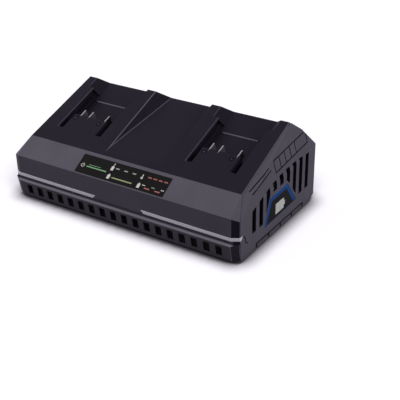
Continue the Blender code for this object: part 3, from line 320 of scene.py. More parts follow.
# The same plastic, a little smoother and painted darker on the corners as painted shade, so they
# read as a shadow line between two faces
SHADED_CORNER_ABS = Finish("abs_polished_dark_corner", "1C1822", "2C2831", pitch_mm=2.0, specular=0.05)
# Painted shade on the tray's corners, less dark
SHADED_LOW_CORNER_ABS = Finish(
    "abs_polished_slate_corner", "35313C", "45414C", pitch_mm=2.0, specular=0.07
)
# Walls of slots and vents, matt, with painted shade that makes them swallow light
SHADED_WALL_ABS = Finish("abs_core_side_matt", "2A2632", "322E3A", specular=0.05, roughness=0.8)
# Polycarbonate light guide with a milky filler: it keeps light inside, looks paler than its case
# and has a painted glow
GUIDE_PC = Finish(
    "polycarbonate_milky_light_guide", "DEDAE6", "F0EEF5", relief_mm=0.01, roughness=0.28,
    specular=0.5, scatter=0.35, glow=0.08,
)
# Polyester film printed from behind: a flat black with a satin shine
LABEL_FILM = Finish(
    "polyester_film_black_satin", "161415", "2A2829", pitch_mm=0.8, relief_mm=0.01, roughness=0.42,
    specular=0.03,
)
# Screen-printed ink on the film: even colours with a crisp edge
INK_WHITE = ink("screen_ink_white", "E6E6E3")
INK_SILVER = ink("screen_ink_silver", "ABABA4")
INK_GREEN = ink("screen_ink_green", "7DB07C")
INK_LIME = ink("screen_ink_lime", "A3A97C")
INK_RED = ink("screen_ink_red", "B45C5E")
INK_BLACK = ink("screen_ink_black", "1A1819", 0.02)
# Pole marks drawn as print on the deck: a ring darker than the plastic round it, which is painted
# shade, and a paler sign, which is painted highlight
POLE_RING_SHADE_INK = ink("pad_print_charcoal", "070509", 0.02)
POLE_SIGN_HIGHLIGHT_INK = ink("pad_print_ash", "55505C", 0.05)
# Satin ABS of the trim: an even blue with a soft shine
BADGE_BLUE = Finish("abs_satin_blue", "084A94", "2A6AB4", roughness=0.5, specular=0.05)
# Copper blades plated with nickel: a bright, slightly brushed metal
NICKEL = Finish(
    "nickel_plated_copper", "77757B", "B2B0B6", Pattern.BRUSHED, 0.5, 0.01, 0.08, roughness=0.5,
    metallic=0.7, specular=0.5,
)
# Steel screws plated with zinc: a cool, fairly bright grey
ZINC = Finish(
    "zinc_plated_steel", "A9ABAF", "D0D2D5", Pattern.BRUSHED, 0.4, 0.01, 0.1, roughness=0.38,
    metallic=1.0, specular=0.5,
)
# Bare extruded aluminium: pale metal with lines along the die
ALUMINIUM = Finish(
    "extruded_aluminium", "BFC1C4", "DADCDE", Pattern.BRUSHED, 0.5, 0.02, 0.1, roughness=0.42,
    metallic=1.0, specular=0.5,
)
# Nylon mouldings inside the case: black with a dull shine
NYLON_BLACK = Finish("moulded_nylon_black", "1B1B1D", "3A3A3D", roughness=0.48)
# Glass-fibre board under solder mask: copper tracks show as paler green
SOLDER_MASK = Finish(
    "glass_fibre_solder_mask", "1E5A34", "3E7A50", Pattern.COPPER_TRACKS, 4.0, 0.04, 0.22,
    roughness=0.4,
)
# Sintered ferrite: a dull, stony dark grey
FERRITE = Finish("sintered_ferrite", "3B3B3E", "57575B", pitch_mm=0.8, roughness=0.62)
# Enamelled wire in tight turns: a coppery rib at every turn
MAGNET_WIRE = Finish(
    "enamelled_copper_wire", "B06A38", "D08C58", Pattern.WOUND, 0.9, 0.25, 0.3, roughness=0.32,
    metallic=0.6, coat=0.4,
)
# Heat-shrunk PVC round the capacitors: smooth and glossy dark blue
SLEEVE = Finish("shrunk_pvc_sleeve", "2A3350", "46507A", relief_mm=0.01, roughness=0.3)
# Moulded rubber feet: black without any shine
RUBBER = Finish("moulded_rubber", "1C1C1C", "303030", pitch_mm=0.9, roughness=0.78, specular=0.2)
# Cast epoxy lenses of the diodes: milky and glossy
LENS = Finish("epoxy_led_lens", "D8DCD2", "F0F2EC", relief_mm=0.005, roughness=0.15, scatter=0.2)
# Silicone jacket of the leads: a soft red with a dull shine
SILICONE_RED = Finish("silicone_wire_jacket", "8E2222", "A84040", relief_mm=0.01, roughness=0.5)
# Fired ceramic tube of the fuse: smooth and cream
CERAMIC = Finish("ceramic_fuse_tube", "CFC7B8", "E4DED2", relief_mm=0.01, roughness=0.35)


# Frames that the printed pieces lie in


def plane_frame(origin: Vector, right: Vector, up: Vector) -> Matrix:
    """Make the matrix of a flat place.

    Args:
        origin: Point that becomes zero.
        right: First axis.
        up: Second axis; the third points out of the surface.

    Returns:
        Matrix from the flat place to the row frame.
    """
    across, high = right.normalized(), up.normalized()
    rows = Matrix((across, high, across.cross(high))).transposed().to_4x4()
    return Matrix.Translation(origin) @ rows


@dataclass(frozen=True)
class BodyLines:
    """Lines of the CAD body that printed pieces are placed by."""

    # Y and Z of the lines across the body at both ends of the front slope
    deck_front: tuple[float, float] = (-57.0 * MM, 64.0 * MM)
    slope_foot: tuple[float, float] = (-80.0 * MM, 49.2 * MM)
    deck_angle: float = math.radians(20.66)
    bay_offset: float = 82.7 * MM

    def deck(self, x: float) -> Matrix:
        """Frame on the deck at a width of x, with its second axis up the deck."""
        up = Vector((0.0, math.cos(self.deck_angle), math.sin(self.deck_angle)))
        return plane_frame(Vector((x, *self.deck_front)), Vector((1.0, 0.0, 0.0)), up)

    def bay(self, side: Side) -> Matrix:
        """Frame on the deck at the middle of one bay."""
        return self.deck(side.value * self.bay_offset)

    def slope(self) -> Matrix:
        """Find the frame on the front slope, from its top edge.

        Returns:
            Matrix with its second axis up the slope.
        """
        top = Vector((0.0, *self.deck_front))
        foot = Vector((0.0, *self.slope_foot))
        return plane_frame(top, Vector((1.0, 0.0, 0.0)), top - foot)

    @staticmethod
    def end(side: Side, reach: float) -> Matrix:
        """Frame on an end face at X = reach, seen from outside, with its second axis up."""
        along = Vector((0.0, float(side.value), 0.0))
        return plane_frame(Vector((reach * side.value, 0.0, 0.0)), along, Vector((0.0, 0.0, 1.0)))


LINES = BodyLines()


# Meshes

# Corners nearer than this are one
WELD = 0.002 * MM
# Faces that turn by less than this lie in one flat area
FLAT_TURN = math.radians(0.6)
# An inner edge sharper than this makes its areas hollow
HOLLOW_TURN = math.radians(45.0)
# A rounded face leans by at least this from every flat one
ROUNDED_TURN = math.radians(1.5)


def shown(name: str, data: bpy.types.ID) -> Object:
    """Put a mesh, a lamp or a camera into the scene.

    Args:
        name: Name of the object.
        data: What the object shows.

    Returns:
        The new object, at the origin.
    """
    made = bpy.data.objects.new(name, data)
    bpy.context.scene.collection.objects.link(made)
    return made


def piece(name: str, mesh: Mesh, finishes: Iterable[Finish]) -> Object:
    """Put a mesh into the scene as a piece of the housing.

    Args:
        name: Name of the piece.
        mesh: Mesh with its place in its vertices.
        finishes: Finishes in the order of the mesh's material slots.

    Returns:
        The new object, which rides on the housing.
    """
    mesh.name = name
    if not mesh.materials:
        for finish in finishes:
            mesh.materials.append(finish.material())
    made = shown(name, mesh)
    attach(made, HOUSING)
    LOG.info("%s: %d faces", name, len(mesh.polygons))
    return made


def clean_copy(node: str) -> BMesh:
    """Copy a CAD node with its triangles merged into flat faces.

    Args:
        node: Name of the CAD node.

    Returns:
        Closed mesh, still in the row frame.
    """
    form = bmesh.new()
    form.from_mesh(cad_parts[node].data)
    bmesh.ops.remove_doubles(form, verts=form.verts[:], dist=WELD)
    bmesh.ops.dissolve_limit(form, angle_limit=FLAT_TURN, verts=form.verts[:], edges=form.edges[:])
    return form


@dataclass(frozen=True)
class FlatArea:
    """Mean breadth and length of a flat area, in metres, and whether it meets an inner corner."""

    breadth: float
    length: float
    hollow: bool


def flat_areas(form: BMesh) -> dict[int, FlatArea]:
    """Measure the flat area that each face belongs to.

    Args:
        form: Mesh whose faces meet without a turn inside a flat area.

    Returns:
        Flat area by the index of the face.
    """
    form.normal_update()
    form.faces.index_update()
    found: dict[int, FlatArea] = {}
    for first in form.faces:
        if first.index in found:
            continue
        group, waiting, rim, area, hollow = {first.index}, [first], 0.0, 0.0, False
        while waiting:
            face = waiting.pop()
            area += face.calc_area()
            for edge in face.edges:
                turn = edge.calc_face_angle(math.pi)
                if turn > FLAT_TURN:
                    rim += edge.calc_length()
                    hollow = hollow or (turn > HOLLOW_TURN and not edge.is_convex)
                    continue
                for other in edge.link_faces:
                    if other.index not in group:
                        group.add(other.index)
                        waiting.append(other)
        breadth = 2.0 * area / rim
        found.update(dict.fromkeys(group, FlatArea(breadth, rim / 2 - breadth, hollow)))
    return found


def round_edges(
    form: BMesh, edges: list[BMEdge], width: float, wear: Callable[[BMFace], float]
) -> None:
    """Round edges and paint a highlight on them.

    Args:
        form: Mesh to change, with the face layer of the painted edge highlight.
        edges: Edges to round.
        width: Width of the rounding in metres.
        wear: How strong the painted highlight on a rounded face is, from zero to one.
    """
    flats = [face.normal.copy() for face in form.faces]
    made = bmesh.ops.bevel(
        form, geom=edges, offset=width, offset_type="WIDTH", segments=2, profile=0.5,
        affect="EDGES", clamp_overlap=False, loop_slide=True,
    )
    painted_highlight = form.faces.layers.float["worn_edge"]
    form.normal_update()
    for face in made["faces"]:
        if max(face.normal.dot(flat) for flat in flats) < math.cos(ROUNDED_TURN):
            face[painted_highlight] = wear(face)


def middle_of(edge: BMEdge) -> Vector:
    """Point halfway along an edge."""
    return (edge.verts[0].co + edge.verts[1].co) / 2


def mesh_of(form: BMesh, name: str) -> Mesh:
    """Turn a bmesh into a mesh and free it.

    Args:
        form: Finished bmesh.
        name: Name of the mesh.

    Returns:
        The new mesh.
    """
    mesh = bpy.data.meshes.new(name)
    form.to_mesh(mesh)
    form.free()
    return mesh


def prism(form: BMesh, rings: Iterable[Iterable[Vector]]) -> list[BMFace]:
    """Add the closed solid between two like outlines.

    Args:
        form: Mesh that takes the solid.
        rings: Points of both outlines, in the same order.

    Returns:
        Faces of its sides.
    """
    low, high = ([form.verts.new(point) for point in ring] for ring in rings)
    form.faces.new(low)
    form.faces.new(high)
    after = [*range(1, len(low)), 0]
    return [form.faces.new((low[i], low[j], high[j], high[i])) for i, j in enumerate(after)]


@dataclass
class Print:
    """Thin raised print on a flat place, drawn as closed outlines."""

    place: Matrix
    low: float = 0.02 * MM
    high: float = 0.09 * MM
    disc_steps: int = 20
    fewest_steps: int = 6
    # Step of an arc and gap between two half rings, in degrees
    arc_step: float = 14.0
    ring_gap: float = 1.0
    form: BMesh = field(default_factory=bmesh.new)

    def add(self, outline: Outline) -> None:
        """Add one closed outline, in metres on the flat place."""
        levels = (self.low, self.high)
        prism(self.form, [[self.place @ Vector((x, y, z)) for x, y in outline] for z in levels])

    def bar(self, x: float, y: float, width: float, height: float) -> None:
        """Add a rectangle round a middle point."""
        w, h = width / 2, height / 2
        self.add([(x - w, y - h), (x + w, y - h), (x + w, y + h), (x - w, y + h)])

    def disc(self, x: float, y: float, radius: float) -> None:
        """Add a filled circle."""
        turns = [2.0 * math.pi * i / self.disc_steps for i in range(self.disc_steps)]
        self.add([(x + radius * math.cos(t), y + radius * math.sin(t)) for t in turns])

    def arc(
        self, middle: tuple[float, float], radius: float, width: float, start: float, end: float
    ) -> None:
        """Add a stretch of a ring.

        Args:
            middle: Centre of the ring.
            radius: Radius at the middle of the line.
            width: Width of the line.
            start: First angle in degrees.
            end: Last angle in degrees, more than the first.
        """
        steps = max(self.fewest_steps, int((end - start) / self.arc_step))
        turns = [math.radians(start + (end - start) * i / steps) for i in range(steps + 1)]
        outer = [(radius + width / 2, t) for t in turns]
        inner = [(radius - width / 2, t) for t in reversed(turns)]
        x, y = middle
        self.add([(x + r * math.cos(t), y + r * math.sin(t)) for r, t in outer + inner])

    def ring(self, middle: tuple[float, float], radius: float, width: float) -> None:
        """Add a whole ring, as two halves that don't quite touch."""
        for start in (0.0, 180.0):
            self.arc(middle, radius, width, start, start + 180.0 - self.ring_gap)

    def mesh(self, name: str) -> Mesh:
        """Close the print and return it as a mesh."""
        bmesh.ops.recalc_face_normals(self.form, faces=self.form.faces[:])
        return mesh_of(self.form, name)


# Geometry node trees

HEAD_SIDES = 32
SHANK_SIDES = 20


def node_group(name: str, sockets: dict[str, str]) -> tuple[NodeTree, Node]:
    """Start a geometry node tree.

    Args:
        name: Name of the tree.
        sockets: Kind of each named input, such as Float.

    Returns:
        The tree and its group input node.
    """
    tree = bpy.data.node_groups.new(name, "GeometryNodeTree")
    tree.interface.new_socket("Geometry", in_out="INPUT", socket_type="NodeSocketGeometry")
    for label, kind in sockets.items():
        tree.interface.new_socket(label, in_out="INPUT", socket_type=f"NodeSocket{kind}")
    tree.interface.new_socket("Geometry", in_out="OUTPUT", socket_type="NodeSocketGeometry")
    return tree, tree.nodes.new("NodeGroupInput")


def close_group(tree: NodeTree, points: NodeSocket, shape: NodeSocket, finish: NodeSocket) -> None:
    """End a tree that sets one shape on every point.

    Args:
        tree: Tree to end.
        points: Points that take the shape.
        shape: Shape to repeat.
        finish: Material of the shape.
    """
    spread = add_node(tree, "GeometryNodeInstanceOnPoints", {"Points": points, "Instance": shape})
    real = add_node(tree, "GeometryNodeRealizeInstances", {"Geometry": spread.outputs[0]})
    look = {"Geometry": real.outputs[0], "Material": finish}
    dressed = add_node(tree, "GeometryNodeSetMaterial", look)
    add_node(tree, "NodeGroupOutput", {"Geometry": dressed.outputs[0]})


def dash_row_tree() -> NodeTree:
    """Tree that prints a row of equal dashes along X from zero.

    Returns:
        Tree with the inputs Count, Pitch, Dash and Finish.
    """
    name = "printed_dash_row"
    if name in bpy.data.node_groups:
        return bpy.data.node_groups[name]
    sockets = {"Count": "Int", "Pitch": "Vector", "Dash": "Vector", "Finish": "Material"}
    tree, start = node_group(name, sockets)
    values = start.outputs
    steps = {"Count": values["Count"], "Offset": values["Pitch"]}
    line = add_node(tree, "GeometryNodeMeshLine", steps)
    dash = add_node(tree, "GeometryNodeMeshCube", {"Size": values["Dash"]})
    close_group(tree, line.outputs[0], dash.outputs[0], values["Finish"])
    return tree


def standing_bar(tree: NodeTree, sides: int, radius: NodeSocket, height: NodeSocket) -> NodeSocket:
    """Add a round bar that stands on zero.

    Args:
        tree: Tree of the screw.
        sides: Number of sides that make it round.
        radius: Radius of the bar.
        height: Height of the bar.

    Returns:
        Socket with the bar.
    """
    size = {"Vertices": sides, "Radius": radius, "Depth": height}
    bar = add_node(tree, "GeometryNodeMeshCylinder", size)
    half = add_node(tree, "ShaderNodeMath", {0: height, 1: 0.5}, operation="MULTIPLY")
    lift = add_node(tree, "ShaderNodeCombineXYZ", {"Z": half.outputs[0]})
    place = {"Geometry": bar.outputs[0], "Translation": lift.outputs[0]}
    return add_node(tree, "GeometryNodeTransform", place).outputs[0]


def screw_tree() -> NodeTree:
    """Tree that sets a cross-recessed screw, head down, on every point of its mesh.

    Returns:
        Tree with the sizes of head, shank and recess and the Finish as its inputs.
    """
    name = "cross_recess_screws"
    if name in bpy.data.node_groups:
        return bpy.data.node_groups[name]
    recesses = ("Recess", "Recess Turned")
    sockets = dict.fromkeys(("Head Radius", "Head Height", "Shank Radius", "Length"), "Float")
    sockets.update(dict.fromkeys(recesses, "Vector"), Finish="Material")
    tree, start = node_group(name, sockets)
    values = start.outputs
    head = standing_bar(tree, HEAD_SIDES, values["Head Radius"], values["Head Height"])
    shank = standing_bar(tree, SHANK_SIDES, values["Shank Radius"], values["Length"])
    solid = add_node(tree, "GeometryNodeMeshBoolean", operation="UNION")
    for bar in (head, shank):
        tree.links.new(bar, solid.inputs["Mesh 2"])
    whole = {"Mesh 1": solid.outputs[0]}
    driven = add_node(tree, "GeometryNodeMeshBoolean", whole, operation="DIFFERENCE")
    for recess in recesses:
        slot = add_node(tree, "GeometryNodeMeshCube", {"Size": values[recess]})
        tree.links.new(slot.outputs[0], driven.inputs["Mesh 2"])
    close_group(tree, values["Geometry"], driven.outputs[0], values["Finish"])
    return tree


def grown(tree: NodeTree, values: dict[str, Any], points: Sequence[Vector]) -> Mesh:
    """Run a geometry node tree and keep its result as a plain mesh.

    Args:
        tree: Tree to run.
        values: Value of each named input.
        points: Points that the tree gets as its mesh.

    Returns:
        Plain mesh.
    """
    seed = bpy.data.meshes.new(tree.name)
    seed.from_pydata([tuple(p) for p in points], [], [])
    carrier = shown(tree.name, seed)
    modifier = carrier.modifiers.new("nodes", "NODES")
    modifier.node_group = tree
    for item in tree.interface.items_tree:
        if item.in_out == "INPUT" and item.name in values:
            modifier[item.identifier] = values[item.name]
    graph = bpy.context.evaluated_depsgraph_get()
    graph.update()
    mesh = bpy.data.meshes.new_from_object(carrier.evaluated_get(graph))
    carrier.modifiers.remove(modifier)
    bpy.data.objects.remove(carrier)
    return mesh


# Sub-assemblies


@dataclass
class Shell:
    """Moulded part of the case: its CAD form with rounded edges that carry a painted highlight, and
    painted shade on walls and corners.
    """

    node: str
    name: str
    slot: str
    finish: Finish
    rounding: float = 0.5 * MM
    narrowest: float = 2.0 * MM
    # Finish of the upright front corners; on the case it is a painted shade
    corner_finish: Finish | None = None
    corner_turn: tuple[float, float] = (25.0, 65.0)
    # Parts of a normal: how far a face looks to the front or leans back
    corner_facing: float = 0.3
    corner_lean: float = 0.35
    glint_facing: float = 0.5
    # Finish of the walls of slots, vents and grooves: a painted shade
    wall_finish: Finish | None = None
    wall_breadth: float = 2.6 * MM
    wall_length: float = 62.0 * MM
    # Lengths of slim front steps that get a painted highlight
    glint_length: tuple[float, float] = (0.0, 0.0)
    seam: float = 1.5 * MM
    clearance: float = 0.5 * MM
    # Shortest edge to round, in widths of its rounding, and turns in degrees
    shortest: float = 4.0
    least_turn: float = 14.0
    inner_turn: float = 60.0

    def is_corner(self, face: BMFace) -> bool:
        """Tell whether a face is one of the upright front corners.

        Args:
            face: Face of the CAD form.

        Returns:
            True for a face that turns from the front to an end.
        """
        normal = face.normal
        if -normal.y < self.corner_facing or abs(normal.z) > self.corner_lean:
            return False
        turn = math.degrees(math.atan2(abs(normal.x), -normal.y))
        return self.corner_turn[0] < turn < self.corner_turn[1]

    def is_wall(self, face: BMFace, area: FlatArea) -> bool:
        """Tell whether a face is a wall of a slot, a vent or a groove, which gets painted shade."""
        return area.hollow and area.breadth < self.wall_breadth and area.length < self.wall_length

    def is_glint(self, face: BMFace, area: FlatArea) -> bool:
        """Tell whether a face is a slim step across the front that gets a painted highlight.

        Args:
            face: Face of the CAD form.
            area: Flat area that it belongs to.

        Returns:
            True for a step of the lengths that this moulding names.
        """
        short, long = self.glint_length
        slim = area.breadth < self.wall_breadth and short < area.length < long
        return slim and -face.normal.y > self.glint_facing

    def is_worn(self, edge: BMEdge) -> bool:
        """Tell whether an edge gets a painted highlight: the joint of deck and fascia doesn't.

        Args:
            edge: Edge of the CAD form.

        Returns:
            True away from that joint.
        """
        middle = middle_of(edge)
        y, z = LINES.deck_front
        return abs(middle.y - y) > self.seam or abs(middle.z - z) > self.seam

    def is_crowded(self, edge: BMEdge) -> bool:
        """Tell whether another corner of its two faces lies too near an edge to round it.

        Args:
            edge: Edge of the CAD form.

        Returns:
            True if the rounding would run over a corner.
        """
        start, end = (vert.co for vert in edge.verts)
        corners = {vert for face in edge.link_faces for vert in face.verts}
        for vert in corners.difference(edge.verts):
            share = intersect_point_line(vert.co, start, end)[1]
            nearest = start.lerp(end, min(max(share, 0.0), 1.0))
            if (vert.co - nearest).length < self.clearance:
                return True
        return False

    def wear(self, face: BMFace) -> float:
        """How strong the painted highlight on a rounded face is, from zero to one."""
        return 1.0

    def worn_edges(self, form: BMesh, areas: dict[int, FlatArea]) -> list[BMEdge]:
        """Pick the open edges between broad flat areas, to round them and paint a highlight on
        them.

        Args:
            form: Mesh with its edges.
            areas: Flat area by the index of the face.

        Returns:
            Outer edges, and inner edges of a shallow turn.
        """
        picked = []
        for edge in form.edges:
            if len(edge.link_faces) != 2 or edge.calc_length() < self.shortest * self.rounding:
                continue
            turn = math.degrees(edge.calc_face_angle())
            if turn < self.least_turn or (turn > self.inner_turn and not edge.is_convex):
                continue
            slim = min(areas[face.index].breadth for face in edge.link_faces) < self.narrowest
            if not slim and not self.is_crowded(edge) and self.is_worn(edge):
                picked.append(edge)
        return picked

    def finishes(self) -> list[Finish]:
        """Finish of every zone: without one of its own, a zone has that of the faces."""
        own = {Zone.CORNER: self.corner_finish, Zone.WALL: self.wall_finish}
        return [own.get(zone) or self.finish for zone in Zone]

    def build(self) -> None:
        """Make the piece in place of its CAD node."""
        form = clean_copy(self.node)
        painted_highlight = form.faces.layers.float.new("worn_edge")
        areas = flat_areas(form)
        # Slim front steps get a painted highlight; walls of slots and the front corners get painted
        # shade
        for face in form.faces:
            area = areas[face.index]
            if self.is_glint(face, area):
                face[painted_highlight] = 1.0
            elif self.is_wall(face, area):
                face.material_index = Zone.WALL
            elif self.is_corner(face):
                face.material_index = Zone.CORNER
        round_edges(form, self.worn_edges(form, areas), self.rounding, self.wear)
        made = piece(self.name, mesh_of(form, self.name), self.finishes())
        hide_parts(self.node)


@dataclass
class DeckShell(Shell):
    """Deck, whose bays and left-facing flanks keep sharp edges without a painted highlight."""

    flank_facing: float = 0.3
    bay_half: float = 40.0 * MM
    bay_length: tuple[float, float] = (20.0 * MM, 100.0 * MM)
    bay_level: float = -2.0 * MM
    tongue_half: float = 22.4 * MM
    tongue_back: float = 46.0 * MM
    rail_mouth: float = 84.0 * MM
    # Strength of the painted highlight on the rails, the ridges and the trough's foot
    rail_wear: float = 0.38
    ridge_level: float = -1.0 * MM
    ridge_wear: float = 0.75
    foot_wear: float = 0.5

    def is_worn(self, edge: BMEdge) -> bool:
        """Tell whether an edge gets a painted highlight: edges down in a bay don't.

        Args:
            edge: Edge of the CAD form.

        Returns:
            True outside the bays and off the left-facing flanks.
        """
        leftmost = min(face.normal.x for face in edge.link_faces)
        if not super().is_worn(edge) or leftmost < -self.flank_facing:
            return False
        middle = middle_of(edge)
        front, back = self.bay_length
        for side in Side:
            across, up, level = LINES.bay(side).inverted() @ middle
            if abs(across) < self.bay_half and front < up < back and level < self.bay_level:
                return False
            if abs(across) < self.tongue_half and front < up < self.tongue_back:
                return False
        return True

    def is_wall(self, face: BMFace, area: FlatArea) -> bool:
        """Tell whether a face is a wall of a slot, which gets painted shade, but not where a rail
        opens to the light.
        """
        place = LINES.deck(0.0).inverted() @ face.calc_center_median()
        return super().is_wall(face, area) and place.y < self.rail_mouth

    def wear(self, face: BMFace) -> float:
        """How strong the painted highlight on a rounded face is: faint on the rails, stronger at
        the trough's foot, strongest on the ridges.

        Args:
            face: Face of a rounded edge.

        Returns:
            Strength of the painted highlight, from zero to one.
        """
        middle = face.calc_center_median()
        front, back = self.bay_length
        for side in Side:
            across, up, level = LINES.bay(side).inverted() @ middle
            if abs(across) < self.bay_half and front < up < back:
                return self.rail_wear
        return self.ridge_wear if level > self.ridge_level else self.foot_wear


@dataclass
class BladeShell(Shell):
    """Contact blade, whose flanks may be sleeved."""

    flank_facing: float = 0.7

    def is_corner(self, face: BMFace) -> bool:
        """Tell whether a face is one of the two flanks."""
        return abs(face.normal.x) > self.flank_facing


@dataclass
class Case:
    """Five mouldings of the case and the two light guides on its front."""

    deck_rounding: float = 1.2 * MM
    case_rounding: float = 0.6 * MM
    guide_rounding: float = 0.35 * MM
    wall: float = 2.6 * MM
    rail_lip: float = 3.2 * MM
    rail_length: float = 90.0 * MM
    # Lengths of the slim steps in the bays and of the tray's lip, which get a painted highlight
    bay_step: tuple[float, float] = (50.0 * MM, 62.0 * MM)
    tray_lip: tuple[float, float] = (200.0 * MM, 300.0 * MM)
    engraving: float = 220.0 * MM

    def moulding(self, node: str, name: str, finish: Finish) -> Shell:
        """Start a grey moulding with the roundings of the case."""
        return Shell(node, name, "case_plastic", finish, self.case_rounding, self.wall)

    def mouldings(self) -> list[Shell]:
        """List the deck, the fascia and the tray.

        Returns:
            Mouldings that span both sides.
        """
        deck = DeckShell("top_cover", "deck", "deck_plastic", DECK_ABS, self.deck_rounding)
        deck.wall_finish = SHADED_WALL_ABS
        deck.wall_breadth, deck.wall_length = self.rail_lip, self.rail_length
        deck.glint_length = self.bay_step
        fascia = self.moulding("front_fascia", "fascia", CASE_ABS)
        fascia.corner_finish = SHADED_CORNER_ABS
        tray = self.moulding("base_tray", "tray", TRAY_ABS)
        tray.corner_finish, tray.wall_finish = SHADED_LOW_CORNER_ABS, SHADED_WALL_ABS
        tray.glint_length = self.tray_lip
        return [deck, fascia, tray]

    def end_parts(self, side: Side) -> list[Shell]:
        """List the end cover and the light guide of one side.

        Args:
            side: End of the charger.

        Returns:
            Its two mouldings.
        """
        word, soft = side.word, self.guide_rounding
        end = self.moulding(f"{word}_end_cover", f"{word}_end", CASE_ABS)
        end.wall_finish, end.wall_length = SHADED_WALL_ABS, self.engraving
        guide = Shell(f"{word}_light_bar", f"{word}_guide", "light_guide", GUIDE_PC, soft, soft)
        return [end, guide]

    def build(self) -> None:
        """Make every moulding."""
        for shell in self.mouldings():
            shell.build()
        for side in Side:
            for shell in self.end_parts(side):
                shell.build()


@dataclass(frozen=True)
class DashRow:
    """Row of equal dashes on the label, with the middle of its first dash; all in millimetres."""

    name: str
    finish: Finish
    x: float
    down: float
    length: float
    width: float
    count: int = 1
    pitch: float = 0.0


@dataclass
class StatusLabel:
    """Black film on the slope with its printed signs and strips."""

    rounding: float = 0.12 * MM
    narrowest: float = 0.2 * MM
    lift: float = 0.01 * MM
    ink: float = 0.07 * MM
    battery_size: tuple[float, float] = (3.2 * MM, 4.6 * MM)
    cap_size: tuple[float, float] = (1.7 * MM, 0.9 * MM)
    cap_rise: float = 2.9 * MM
    power_radius: float = 1.9 * MM
    power_line: float = 0.6 * MM
    power_angles: tuple[float, float] = (120.0, 420.0)
    power_bar: float = 2.2 * MM
    power_rise: float = 1.5 * MM
    bulb_radius: float = 1.25 * MM
    bulb_drop: float = 1.3 * MM
    stem_size: tuple[float, float] = (1.0 * MM, 3.6 * MM)
    stem_rise: float = 1.1 * MM
    bolt_mm: Outline = (
        (0.5, 1.9), (-1.0, -0.4), (-0.1, -0.3), (-0.6, -2.0), (1.0, 0.5), (0.1, 0.4),
    )
    rows: tuple[DashRow, ...] = (
        DashRow("strip_ready", INK_GREEN, -31.8, 17.0, 25.0, 1.3),
        DashRow("ticks_ready", INK_GREEN, -41.5, 14.6, 1.6, 0.7, 6, 2.5),
        DashRow("dashes_charging", INK_SILVER, -8.5, 10.5, 4.4, 1.3, 3, 10.4),
        DashRow("strip_charged", INK_LIME, 2.7, 21.4, 25.0, 1.3),
        DashRow("dashes_hot", INK_RED, 31.0, 10.0, 4.4, 1.3, 4, 6.4),
        DashRow("dashes_fault_white", INK_WHITE, 28.8, 19.5, 3.6, 0.9, 3, 11.2),
        DashRow("dashes_fault_green", INK_GREEN, 40.0, 19.5, 4.0, 1.1),
        DashRow("dashes_fault_red", INK_RED, 34.0, 22.3, 6.2, 1.4, 2, 12.5),
    )

    def level(self) -> float:
        """Measure where the print starts, just clear of the film's face.

        Returns:
            Height over the slope.
        """
        back = LINES.slope().inverted()
        face = max((back @ v.co).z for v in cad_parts["status_label"].data.vertices)
        return face + self.lift

    def battery(self, art: Print, x: float, y: float) -> None:
        """Print an upright battery."""
        art.bar(x, y, *self.battery_size)
        art.bar(x, y + self.cap_rise, *self.cap_size)

    def power_sign(self, art: Print, x: float, y: float) -> None:
        """Print an open ring with an upright bar."""
        art.arc((x, y), self.power_radius, self.power_line, *self.power_angles)
        art.bar(x, y + self.power_rise, self.power_line, self.power_bar)

    def bolt(self, art: Print, x: float, y: float) -> None:
        """Print a zigzag bolt."""
        art.add([(x + across * MM, y + up * MM) for across, up in self.bolt_mm])

    def thermometer(self, art: Print, x: float, y: float) -> None:
        """Print a bulb and its stem."""
        art.disc(x, y - self.bulb_drop, self.bulb_radius)
        art.bar(x, y + self.stem_rise, *self.stem_size)

    def white_signs(self) -> None:
        """Print the white signs as one piece, by X and way down the slope in millimetres."""
        foot = self.level()
        art = Print(LINES.slope(), foot, foot + self.ink)
        signs = (
            (self.power_sign, -49.3, 16.7),
            (self.battery, -14.6, 11.6),
            (self.bolt, -14.4, 6.6),
            (self.battery, -13.8, 21.4),
            (self.thermometer, 22.4, 11.2),
            (self.battery, 23.5, 21.6),
        )
        for draw, x, down in signs:
            draw(art, x * MM, -down * MM)
        self.dress(piece("label_signs", art.mesh("label_signs"), [INK_WHITE]))

    @staticmethod
    def dress(made: Object) -> None:
        """Take a printed piece and leave it as it is."""

    def strip(self, row: DashRow) -> None:
        """Print one row of dashes.

        Args:
            row: Ink, place and size of the row.
        """
        values = {
            "Count": row.count,
            "Pitch": (row.pitch * MM, 0.0, 0.0),
            "Dash": (row.length * MM, row.width * MM, self.ink),
            "Finish": row.finish.material(),
        }
        mesh = grown(dash_row_tree(), values, [])
        place = (row.x * MM, -row.down * MM, self.level() + self.ink / 2)
        mesh.transform(LINES.slope() @ Matrix.Translation(place))
        self.dress(piece(row.name, mesh, [row.finish]))

    def build(self) -> None:
        """Make the film and its print."""
        rim = (self.rounding, self.narrowest)
        Shell("status_label", "label", "label_film", LABEL_FILM, *rim).build()
        self.white_signs()
        for row in self.rows:
            self.strip(row)


